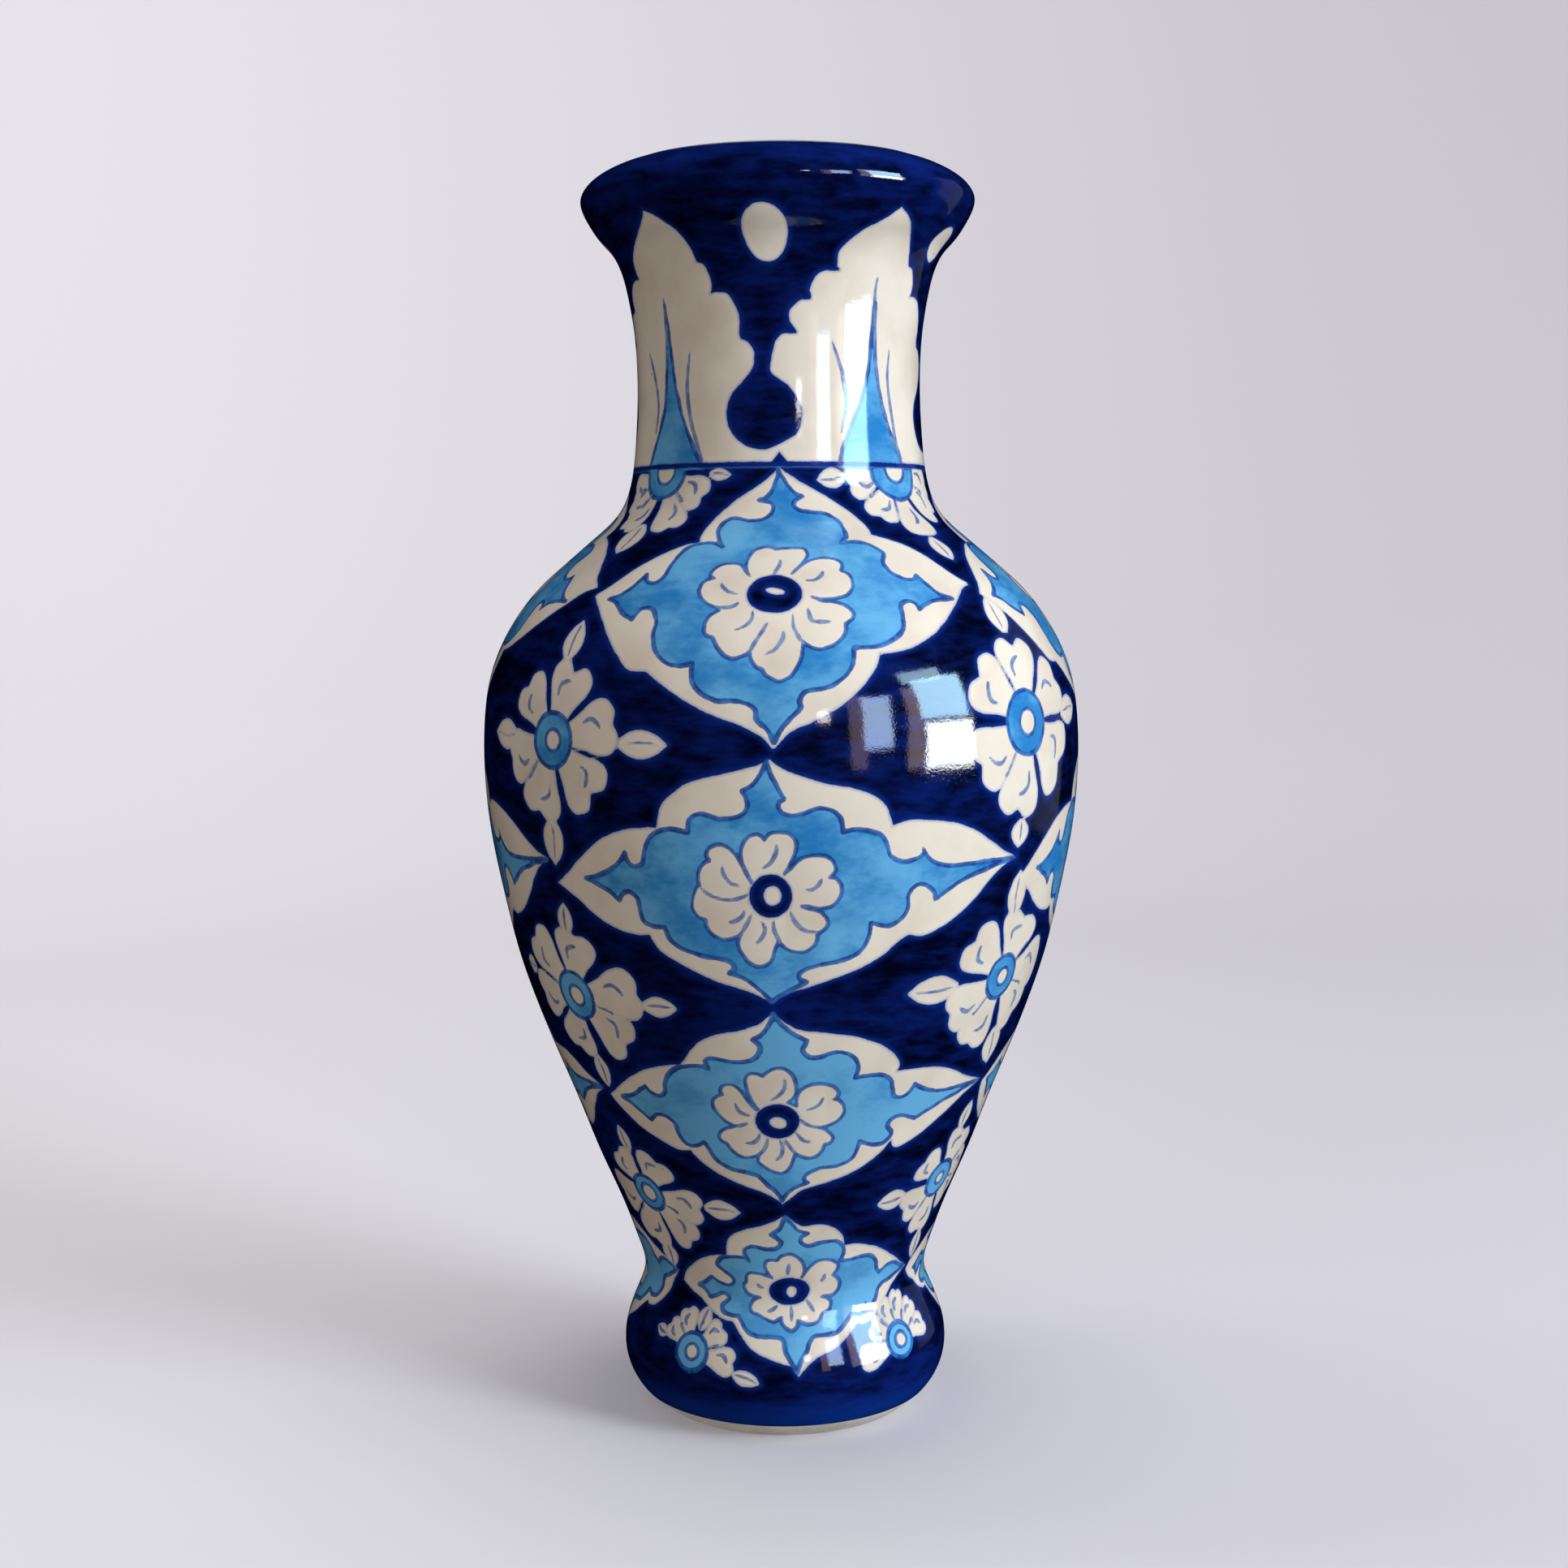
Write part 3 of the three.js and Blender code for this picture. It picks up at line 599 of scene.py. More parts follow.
# Sky-blue spires in two of the leaves: both sides upwards to the point and down again, and loose strokes.
SPIRES = [
    {"left": [(-59.3, 255), (-55.7, 260.8), (-51.4, 267.1), (-50, 270.8), (-49, 278.3)],
     "right": [(-47.6, 293.3), (-45.7, 281.7), (-43.6, 274.2), (-39.3, 266.7), (-33.6, 260)],
     "end": (-28.9, 255),
     "strokes": [[(-61.4, 283), (-57.1, 276.7), (-54.6, 270.4), (-55.7, 264)],
                 [(-36.1, 282), (-37.6, 275), (-36.4, 268.3), (-33, 262), (-29.5, 257)],
                 [(-47.6, 295), (-48, 288), (-48.6, 280)]]},
    {"left": [(22.9, 255), (24.3, 258.3), (29.3, 265), (35, 272.5), (37.9, 279.5)],
     "right": [(39.6, 293), (41.4, 280), (43.6, 272.5), (47.9, 265), (53.5, 258)],
     "end": (55.4, 255),
     "strokes": [[(21.4, 284), (25.7, 276.7), (27.1, 270), (25, 263.3)],
                 [(49, 283), (48.1, 275.8), (50, 268.3), (51.8, 262), (55, 257.5)],
                 [(39.3, 298.8), (39, 295), (40.4, 288.3), (41.6, 279), (43.8, 272), (47.9, 264.5),
                  (53.5, 257)]]},
]
COBALT_TOP = CROWN_ARC - 2.2  # mm, above which the crown of the lip is left white


# ---------------------------------------------------------------- painting

LAYERS = ("cream", "sky", "petal", "cobalt", "line")
FLOWER_LAYERS = ("cream", "sky", "petal", "line")
BAND = 2.4  # mm either side of an edge within which its distance is kept
HAND = 0.35  # how far the hand strays on the panels away from the front, in mm or degrees

# Half-widths of brush lines in mm.
PANEL_STROKE = 0.5
VEIN_STROKE = 0.56
DIVISION_STROKE = 0.42
LEAF_STROKE = 0.38
SPIRE_STROKE = 0.55
NECK_LINE_STROKE = 0.55


def spline(points, closed=False):
    """Catmull-Rom through points, ten places to each stretch."""
    p = np.array(points, float)
    ends = (p[-1:], p[:1], p[1:2]) if closed else (2 * p[:1] - p[1:2], 2 * p[-1:] - p[-2:-1], None)
    p = np.concatenate([ends[0], p, ends[1]] + ([ends[2]] if closed else []))
    t = np.arange(10)[:, None] / 10
    a, b, c, d = (p[i:len(p) - 3 + i, None] for i in range(4))
    square = (2 * a - 5 * b + 4 * c - d) * t ** 2
    cube = (3 * b - a - 3 * c + d) * t ** 3
    curve = 0.5 * (2 * b + (c - a) * t + square + cube)
    curve = curve.reshape(-1, 2)
    return curve if closed else np.concatenate([curve, p[-2:-1]])


def spans(outline_spans):
    """A closed path: each span runs on to the first point of the next one."""
    parts = []
    for span, after in zip(outline_spans, outline_spans[1:] + outline_spans[:1]):
        parts.append(spline(span + after[:1])[:-1])
    return np.concatenate(parts)


def ellipse(at, height, half_degrees, half_height, tilt=0):
    """An ellipse by its axes, turned by tilt degrees."""
    scale = math.radians(radius_at(height))
    turn = np.linspace(0, 2 * math.pi, 60, endpoint=False)
    x = half_degrees * scale * np.cos(turn)
    y = half_height * np.sin(turn)
    lean = math.radians(tilt)
    across = x * math.cos(lean) - y * math.sin(lean)
    up = x * math.sin(lean) + y * math.cos(lean)
    return np.stack([at + across / scale, height + up], 1)


class Face:
    """The painting on one section's outer face. Each layer is a field on the face's grid: how many mm a
    place lies inside the layer's shapes, negative outside them, and never past BAND."""

    def __init__(self, arcs, radii):
        self.arcs, self.low, self.step = arcs, arcs[0], arcs[1] - arcs[0]
        self.scale = np.radians(radii)
        self.layers = {name: np.full((len(arcs), COLUMNS), -BAND) for name in LAYERS}

    def misses(self, path):
        """Whether a path stays clear of the face."""
        return path[:, 1].min() > self.arcs[-1] + BAND or path[:, 1].max() < self.low - BAND

    def nearness(self, path, half_width=0.0):
        """Half-width less the distance to the path, in mm on the face, kept only near the path: each short
        stretch of the path is measured against the window of grid places round it."""
        a, b = path[:-1], path[1:]
        half = np.broadcast_to(half_width, len(path))[:-1]
        row = np.rint(((a + b)[:, 1] / 2 - self.low) / self.step).astype(int)
        rows_out = int(np.ceil(BAND / self.step)) + 1
        keep = (row > -rows_out) & (row < len(self.arcs) + rows_out)
        a, b, half, row = a[keep], b[keep], half[keep], row[keep]
        reach = np.full(self.layers["sky"].size, -BAND)
        if len(row) == 0:
            return reach.reshape(-1, COLUMNS)
        nearest = np.clip(row, 0, len(self.arcs) - 1)
        columns_out = int(np.ceil(BAND / (TURN * self.scale[nearest].min()))) + 1
        column = np.rint((a + b)[:, 0] / 2 / TURN).astype(int)
        i = (row[:, None] + np.arange(-rows_out, rows_out + 1))[:, :, None]
        j = (column[:, None] + np.arange(-columns_out, columns_out + 1))[:, None, :]
        scale = self.scale[np.clip(i, 0, len(self.arcs) - 1)]
        east = (j * TURN - a[:, 0, None, None]) * scale
        north = self.low + i * self.step - a[:, 1, None, None]
        way_east = (b - a)[:, 0, None, None] * scale
        way_north = (b - a)[:, 1, None, None]
        length = np.maximum(way_east ** 2 + way_north ** 2, 1e-9)
        share = np.clip((east * way_east + north * way_north) / length, 0, 1)
        away = np.hypot(east - share * way_east, north - share * way_north)
        value = half[:, None, None] - away
        place = np.broadcast_to(i * COLUMNS + j % COLUMNS, value.shape)
        real = np.broadcast_to((i >= 0) & (i < len(self.arcs)), value.shape)
        np.maximum.at(reach, place[real], value[real])
        return reach.reshape(-1, COLUMNS)

    def inside(self, path):
        """Even-odd filling: along each row, a place is inside after an odd number of crossings."""
        a, b = path, np.roll(path, -1, 0)
        first = int(np.floor(path[:, 0].min() / TURN)) - 1
        width = int(np.ceil(path[:, 0].max() / TURN)) + 2 - first
        counts = np.zeros((len(self.arcs), width), int)
        start = np.ceil((np.minimum(a[:, 1], b[:, 1]) - self.low) / self.step).astype(int)
        stop = np.ceil((np.maximum(a[:, 1], b[:, 1]) - self.low) / self.step).astype(int)
        for k in range(int((stop - start).max())):
            row = start + k
            use = (row < stop) & (row >= 0) & (row < len(self.arcs))
            share = (self.low + row[use] * self.step - a[use, 1]) / (b[use, 1] - a[use, 1])
            crossing = a[use, 0] + share * (b[use, 0] - a[use, 0])
            np.add.at(counts, (row[use], np.ceil(crossing / TURN).astype(int) - first), 1)
        filled = np.zeros((len(self.arcs), COLUMNS), bool)
        filled[:, (first + np.arange(width)) % COLUMNS] = np.cumsum(counts, 1) % 2 == 1
        return filled

    def fill(self, layer, path, hole=False):
        """Adds a closed shape to a layer, or with hole takes it out of the layer."""
        if self.misses(path):
            return
        edge = self.nearness(np.concatenate([path, path[:1]]))
        signed = np.where(self.inside(path), -edge, edge)
        before = self.layers[layer]
        self.layers[layer] = np.minimum(before, -signed) if hole else np.maximum(before, signed)

    def stroke(self, path, half_width, layer="line"):
        """A brush line that thins to a third of its width at both ends."""
        if self.misses(path):
            return
        share = np.linspace(0, 1, len(path))
        width = half_width * (0.35 + 0.65 * np.sqrt(np.sin(math.pi * share).clip(0)))
        self.layers[layer] = np.maximum(self.layers[layer], self.nearness(path, width))

    def above(self, layer, arc):
        """Fills a layer from an arc length upwards."""
        signed = np.clip(self.arcs - arc, -BAND, BAND)[:, None]
        self.layers[layer] = np.maximum(self.layers[layer], signed)

    def only_below(self, layer, arc):
        """Empties a layer from an arc length upwards."""
        signed = np.clip(arc - self.arcs, -BAND, BAND)[:, None]
        self.layers[layer] = np.minimum(self.layers[layer], signed)


def stray(path, seed):
    """Moves a path by slow waves, as a hand does when it repeats a drawing."""
    if seed == 0:
        return path
    across = HAND * (np.sin(0.21 * path[:, 1] + 2.1 * seed) + np.sin(0.17 * path[:, 0] + 1.3 * seed))
    up = HAND * (np.sin(0.23 * path[:, 0] + 0.7 * seed) + np.sin(0.19 * path[:, 1] + 2.9 * seed))
    return path + np.stack([across, up], 1)


def panel_columns(tips):
    """Left and right point of the four panels of a level: the front one as drawn, the rest sharing what is
    left of the turn."""
    left, right = tips
    width = (360 - (right - left) - 4 * TIP_GAP) / 3
    step = width + TIP_GAP
    return [tips] + [(right + TIP_GAP + k * step, right + (k + 1) * step) for k in range(3)]


def paint_panel(face, panel, left, right, seed):
    """A white panel with its sky-blue wash and its flower, stretched between two points."""
    old_left, old_right = panel["tips"]
    stretch = (right - left) / (old_right - old_left)

    def place(path):
        moved = np.stack([left + (path[:, 0] - old_left) * stretch, path[:, 1]], 1)
        return stray(moved, seed)

    face.fill("cream", place(spans(panel["white"])))
    face.fill("sky", place(spans(panel["sky"])))
    face.fill("petal", place(spans(panel["petals"])))
    face.fill("cobalt", place(ellipse(*panel["heart"])))
    face.fill("cobalt", place(ellipse(*panel["dot"])), hole=True)
    for line in panel["lines"]:
        face.stroke(place(spline(line)), PANEL_STROKE)


# One side of a petal and of a leaf, as (share of its length, share of its half-width).
PETAL_SIDE = [(0, 0.34), (0.3, 0.6), (0.58, 0.92), (0.78, 1), (0.92, 0.84), (1, 0.45)]
LEAF_SIDE = [(0, 0.25), (0.25, 0.85), (0.5, 1), (0.78, 0.66)]


def petal_path(root, reach, width, notch):
    """One petal along +x: two rounded lobes with a notch between them, read from its root and back."""
    side = [(root + u * (reach - root), v * width / 2) for u, v in PETAL_SIDE]
    other = [(x, -y) for x, y in side[::-1]]
    if notch == 0:
        return spline(side + [(reach + 0.02 * width, 0)] + other)
    return np.concatenate([spline(side + [(reach - notch, 0)])[:-1], spline([(reach - notch, 0)] + other)])


def leaf_path(near, far, width):
    """One pointed leaf along +x, from near to far."""
    side = [(near + u * (far - near), v * width / 2) for u, v in LEAF_SIDE]
    other = [(x, -y) for x, y in side[::-1]]
    return np.concatenate([spline(side + [(far, 0)])[:-1], spline([(far, 0)] + other)])


def paint_flower(face, flower, at, seed=0):
    """A white flower on the ground: notched petals round a sky-blue ring with a pale dot, and leaves. It
    is painted on a face of its own first, so that its lines stay on its petals."""
    degrees, height = at
    scale = math.radians(radius_at(height))

    def place(path, direction):
        turn = math.radians(direction)
        x = path[:, 0] * math.cos(turn) - path[:, 1] * math.sin(turn)
        y = path[:, 0] * math.sin(turn) + path[:, 1] * math.cos(turn)
        return stray(np.stack([degrees + x / scale, height + y], 1), seed)

    ring, petals = flower["ring"], flower["petals"]
    part = Face(face.arcs, np.degrees(face.scale))
    for direction, reach, width, notch in petals:
        part.fill("cream", place(petal_path(ring * 0.7, reach, width * 1.07, notch), direction))
        vein = [(0.42 * reach + 2, 0.16 * width), (0.55 * reach + 2, 0.2 * width),
                (0.66 * reach + 1.5, 0.1 * width), (0.7 * reach + 1.5, -0.02 * width)]
        part.stroke(place(spline(vein), direction), VEIN_STROKE)
    turns = sorted(p[0] % 360 for p in petals)
    for before, after in zip(turns, turns[1:] + [turns[0] + 360]):
        if after - before < 90:
            reach = min(p[1] for p in petals)
            division = [(ring * 0.95, 0), (0.5 * (ring + reach), 0.3), (0.72 * reach, -0.2)]
            part.stroke(place(spline(division), (before + after) / 2), DIVISION_STROKE)
    for direction, near, far, width in flower["leaves"]:
        length = far - near
        midrib = [(near + 0.1 * length, 0), (near + 0.5 * length, 0.3), (near + 0.85 * length, 0)]
        part.fill("cream", place(leaf_path(near, far, width), direction))
        part.stroke(place(spline(midrib), direction), LEAF_STROKE)
    part.layers["line"] = np.minimum(part.layers["line"], part.layers["cream"])
    circle = ellipse(0, height, ring / scale, ring)
    dot = ellipse(0.3, height, flower["dot"] / scale, flower["dot"])
    part.fill("sky", stray(circle + [degrees, 0], seed))
    part.fill("petal", stray(dot + [degrees, 0], seed))
    for name in FLOWER_LAYERS:
        if "below" in flower:
            part.only_below(name, flower["below"])
        face.layers[name] = np.maximum(face.layers[name], part.layers[name])


def paint_neck(face):
    """White neck with leaves: between two leaves the cobalt comes down their edges to a hanging drop."""
    face.above("cream", NECK_LINE)
    moved = np.array([NECK_TURN, 0])
    points = LEAF_POINTS + [LEAF_POINTS[0] + 360]
    for k, (left, right) in enumerate(zip(points, points[1:])):
        middle = (left + right) / 2 + DROP_MIDDLE
        ease = (right - left) / (LEAF_POINTS[1] - LEAF_POINTS[0])
        down = [[(left + x * ease, y) for x, y in span] for span in EDGE_LEFT]
        up = [[(right + x * ease, y) for x, y in span] for span in EDGE_RIGHT]
        up = [span[::-1] for span in up[::-1]]
        shape = edge_path(down) + [(middle + DROP_NECK[0], DROP_NECK[1])] + edge_path(up)
        shape += [(right + 4, 319), (right + 4, 322), (left - 4, 322), (left - 4, 319)]
        shape = np.array(shape)
        face.fill("cobalt", dense(stray(shape, k)) + moved)
        face.fill("cobalt", stray(spline([(middle + x, y) for x, y in DROP], closed=True), k) + moved)
    face.above("cobalt", NECK_COBALT)
    face.only_below("cobalt", COBALT_TOP)
    for oval in OVALS:
        face.fill("cobalt", ellipse(*oval) + moved, hole=True)
    for k, spire in enumerate(SPIRES + SPIRES):
        drawn = k % len(SPIRES)
        seed = 0 if k == drawn else k
        move = np.array([NECK_TURN + LEAF_POINTS[k] - LEAF_POINTS[drawn], 0])
        left_side = spline(spire["left"] + spire["right"][:1])[:-1]
        right_side = spline(spire["right"] + [spire["end"]])
        face.fill("sky", stray(np.concatenate([left_side, right_side]) + move, seed))
        for line in spire["strokes"]:
            face.stroke(stray(spline(line) + move, seed), SPIRE_STROKE)


def edge_path(edge):
    """Points along an edge of several spans, each running on to the next one's start."""
    out = []
    for span, after in zip(edge, edge[1:]):
        out += list(map(tuple, spline(span + after[:1])[:-1]))
    return out + list(map(tuple, spline(edge[-1])))


def dense(path):
    """The same closed path with places no more than half a millimetre or half a degree apart."""
    loop = np.concatenate([path, path[:1]])
    parts = []
    for a, b in zip(loop, loop[1:]):
        count = max(2, int(np.abs(b - a).max() * 2) + 2)
        parts.append(np.linspace(a, b, count)[:-1])
    return np.concatenate(parts)


def neck_border(face):
    """The line round the foot of the neck, with a small point of ground above each column of panels."""
    turns = np.stack([np.linspace(0, 360, COLUMNS + 1), np.full(COLUMNS + 1, NECK_LINE)], 1)
    face.layers["cobalt"] = np.maximum(face.layers["cobalt"], face.nearness(turns, NECK_LINE_STROKE))
    wide, high = NECK_LINE_POINT
    for at in (0, 90, 180, 270):
        point = [(at - wide, NECK_LINE - 0.2), (at, NECK_LINE + high), (at + wide, NECK_LINE - 0.2)]
        face.fill("cobalt", dense(np.array(point, float)))


def paint(arcs, radii):
    """Everything that is painted on one face. A column's junctions are where its panels' tips meet the next
    column's; the flowers away from the front hang between the junctions above and below them."""
    face = Face(arcs, radii)
    junctions = []
    for level, panel in enumerate(PANELS):
        columns = panel_columns(panel["tips"])
        junctions.append([columns[1][1] + TIP_GAP / 2, columns[2][1] + TIP_GAP / 2])
        for column, (left, right) in enumerate(columns):
            seed = 0 if column == 0 else column + 4 * level
            paint_panel(face, panel, left, right, seed)
    for set_number, flowers in enumerate((RIGHT_FLOWERS, LEFT_FLOWERS)):
        for row, flower in enumerate(flowers):
            paint_flower(face, flower, flower["at"])
            near = [junctions[k][1 - set_number] for k in (row - 1, row) if 0 <= k < len(junctions)]
            paint_flower(face, flower, (sum(near) / len(near), flower["at"][1]), 7 + row + 5 * set_number)
    face.only_below("cream", NECK_LINE)
    paint_neck(face)
    neck_border(face)
    return face.layers


# ---------------------------------------------------------------- turning the clay

def turned(name, profile, outer_rows=0, normals=None, layers=None, joint_rows=()):
    """A profile of (radius, height) rows in mm, closed on itself, swept round the pot's axis. Column j
    stands at j * TURN degrees from the front. Rows up to outer_rows are the outer face: they carry its own
    normals and its painting; joint_rows are left as bare clay."""
    angles = np.radians(np.arange(COLUMNS) * TURN)
    ring = np.stack([np.sin(angles), -np.cos(angles)], 1)
    rows = len(profile)
    places = np.empty((rows, COLUMNS, 3))
    places[..., :2] = profile[:, 0, None, None] * ring * MM
    places[..., 2] = profile[:, 1, None] * MM
    k, j = np.meshgrid(np.arange(rows), np.arange(COLUMNS), indexing="ij")
    up, right = (k + 1) % rows, (j + 1) % COLUMNS
    quads = np.stack([k * COLUMNS + j, k * COLUMNS + right, up * COLUMNS + right, up * COLUMNS + j], -1)
    quads = quads.reshape(-1, 4)
    mesh = bpy.data.meshes.new(name)
    mesh.vertices.add(rows * COLUMNS)
    mesh.vertices.foreach_set("co", places.ravel())
    mesh.loops.add(quads.size)
    mesh.loops.foreach_set("vertex_index", quads.ravel())
    mesh.polygons.add(len(quads))
    mesh.polygons.foreach_set("loop_start", np.arange(len(quads)) * 4)
    mesh.polygons.foreach_set("loop_total", np.full(len(quads), 4))
    slots = np.zeros((rows, COLUMNS), np.int32)
    slots[list(joint_rows)] = 1
    mesh.polygons.foreach_set("material_index", slots.ravel())
    mesh.update(calc_edges=True)
    mesh.polygons.foreach_set("use_smooth", np.ones(len(quads), bool))
    mesh.set_sharp_from_angle(angle=math.radians(40))
    for layer, field in (layers or {}).items():
        values = np.full((rows, COLUMNS), BAND if layer == "cream" else -BAND, np.float32)
        values[:outer_rows] = field
        mesh.attributes.new(layer, "FLOAT", "POINT").data.foreach_set("value", values.ravel())
    if normals is not None:
        facing = np.zeros((rows, COLUMNS, 3))
        facing[:outer_rows, :, :2] = normals[:, 0, None, None] * ring
        facing[:outer_rows, :, 2] = normals[:, 1, None]
        at_corners = facing.reshape(-1, 3)[quads].reshape(rows, COLUMNS, 4, 3)
        at_corners[outer_rows - 1:] = 0
        mesh.normals_split_custom_set(at_corners.reshape(-1, 3).tolist())
    piece = bpy.data.objects.new(name, mesh)
    bpy.context.collection.objects.link(piece)
    return piece


def smooth_rest(path):
    """The joints and the inner wall: corners stay as they are, and a run of more than three points between
    two corners becomes a curve. Also says which rows are joint faces."""
    corners = [0] + [c for c in sharp(path) if 0 < c < len(path) - 1] + [len(path) - 1]
    rows = [path[:1]]
    joint = [True]
    for a, b in zip(corners, corners[1:]):
        run = path[a:b + 1]
        if len(run) > 3:
            curve = Curve(run)
            count = max(3, int(curve.length / INNER_STEP))
            rows.append(curve.at(np.linspace(0, curve.length, count + 1)[1:]))
            joint += [False] * (count - 1) + [True]
        else:
            rows.append(run[1:])
            joint += [True] * (len(run) - 1)
    return np.concatenate(rows), joint


def section(number, node, spacing):
    """One turned section: its outer face on the whole outline, its joints and inner wall from the frame."""
    low, high = seam_arcs[number:number + 2]
    count = int(round((high - low) / spacing)) + 1
    arcs = np.linspace(low, high, count)
    outer = outline.at(arcs)
    way = outline.along(arcs)
    normals = np.stack([way[:, 1], -way[:, 0]], 1)
    run, rest = runs[node]
    rest_rows, joint = smooth_rest(np.concatenate([run[-1:], rest]))
    rest_rows, joint = rest_rows[1:], joint[1:]
    top, bottom = [], []
    if node not in ("foot_ring", "lip"):
        inner_end = high - math.dist(run[-1], outline.at(high)[0])
        top = [outline.behind(high, SKIN)[0], outline.behind(inner_end, SKIN)[0]]
    if node != "foot_ring":
        inner_start = low + math.dist(run[0], outline.at(low)[0])
        bottom = [outline.behind(inner_start, SKIN)[0], outline.behind(low, SKIN)[0]]
    profile = np.array([*outer, *top, *rest_rows, *bottom])
    is_joint = [False] * (count - 1) + [True] * (len(top) + 1) + joint
    last_rows = list(range(len(profile) - len(bottom) - 1, len(profile)))
    joint_rows = [k for k, flag in enumerate(is_joint[:len(profile)]) if flag] + last_rows
    layers = None if node == "foot_ring" else paint(arcs, outer[:, 0])
    return turned(node + "_skin", profile, count, normals, layers, joint_rows)


# ---------------------------------------------------------------- finishes

class Signal:
    """A socket to reckon with: an operator adds a Math node to its finish and gives the result."""

    def __init__(self, finish, socket):
        self.finish, self.socket = finish, socket

    def maths(self, operation, a, b=None):
        inputs = {0: a} if b is None else {0: a, 1: b}
        return self.finish.add("ShaderNodeMath", {"operation": operation}, inputs)

    def __add__(self, other):
        return self.maths("ADD", self, other)

    def __radd__(self, other):
        return self.maths("ADD", other, self)

    def __sub__(self, other):
        return self.maths("SUBTRACT", self, other)

    def __rsub__(self, other):
        return self.maths("SUBTRACT", other, self)

    def __mul__(self, other):
        return self.maths("MULTIPLY", self, other)

    def __rmul__(self, other):
        return self.maths("MULTIPLY", other, self)

    def __truediv__(self, other):
        return self.maths("DIVIDE", self, other)

    def __abs__(self):
        return self.maths("ABSOLUTE", self)

    def least(self, other):
        return self.maths("MINIMUM", self, other)

    def most(self, other):
        return self.maths("MAXIMUM", self, other)


class Finish:
    """A material being built: a Principled shader and the nodes that feed it."""

    def __init__(self, name, **settings):
        self.material = bpy.data.materials.new(name)
        self.material.use_nodes = True
        self.nodes = self.material.node_tree.nodes
        self.shader = self.nodes["Principled BSDF"]
        for socket, value in settings.items():
            self.shader.inputs[socket.replace("_", " ")].default_value = value

    def set(self, socket, value):
        if isinstance(value, Signal):
            self.material.node_tree.links.new(value.socket, socket)
        else:
            socket.default_value = value

    def add(self, kind, settings=None, inputs=None, output=0):
        """Adds a node: its settings first, then the values or links of its sockets."""
        node = self.nodes.new(kind)
        for key, value in (settings or {}).items():
            setattr(node, key, value)
        for key, value in (inputs or {}).items():
            self.set(node.inputs[key], value)
        return Signal(self, node.outputs[output])

    def feed(self, socket, value):
        self.set(self.shader.inputs[socket], value)

    def place(self, stretch=(1, 1, 1)):
        """Object coordinates in metres, stretched along each axis."""
        where = self.add("ShaderNodeTexCoord", output="Object")
        return self.add("ShaderNodeMapping", {"vector_type": "POINT"}, {"Vector": where, "Scale": stretch})

    def noise(self, size, detail=2.0, rough=0.5, stretch=(1, 1, 1)):
        """Soft noise from 0 to 1 with patches of a size in mm."""
        inputs = {"Vector": self.place(stretch), "Scale": 1 / (size * MM), "Detail": detail}
        inputs["Roughness"] = rough
        return self.add("ShaderNodeTexNoise", {"noise_dimensions": "3D"}, inputs)

    def field(self, name):
        """A painted layer, in mm inside its shapes."""
        return self.add("ShaderNodeAttribute", {"attribute_name": name}, output="Fac")

    def step(self, value, low, high):
        """0 below low, 1 above high, smooth between."""
        settings = {"interpolation_type": "SMOOTHSTEP"}
        return self.add("ShaderNodeMapRange", settings, {0: value, 1: low, 2: high})

    def blend(self, a, b, share):
        """Colour a where share is 0, colour b where it is 1."""
        return self.add("ShaderNodeMix", {"data_type": "RGBA"}, {0: share, 6: a, 7: b}, output=2)

    def bump(self, height, strength=1.0):
        """Relief from a height in mm."""
        inputs = {"Height": height, "Strength": strength, "Distance": MM}
        self.feed("Normal", self.add("ShaderNodeBump", inputs=inputs, output="Normal"))


def colour(red, green, blue):
    """Linear colour from 8-bit display values."""
    parts = [c / 255 for c in (red, green, blue)]
    return tuple(c / 12.92 if c < 0.04045 else ((c + 0.055) / 1.055) ** 2.4 for c in parts) + (1.0,)


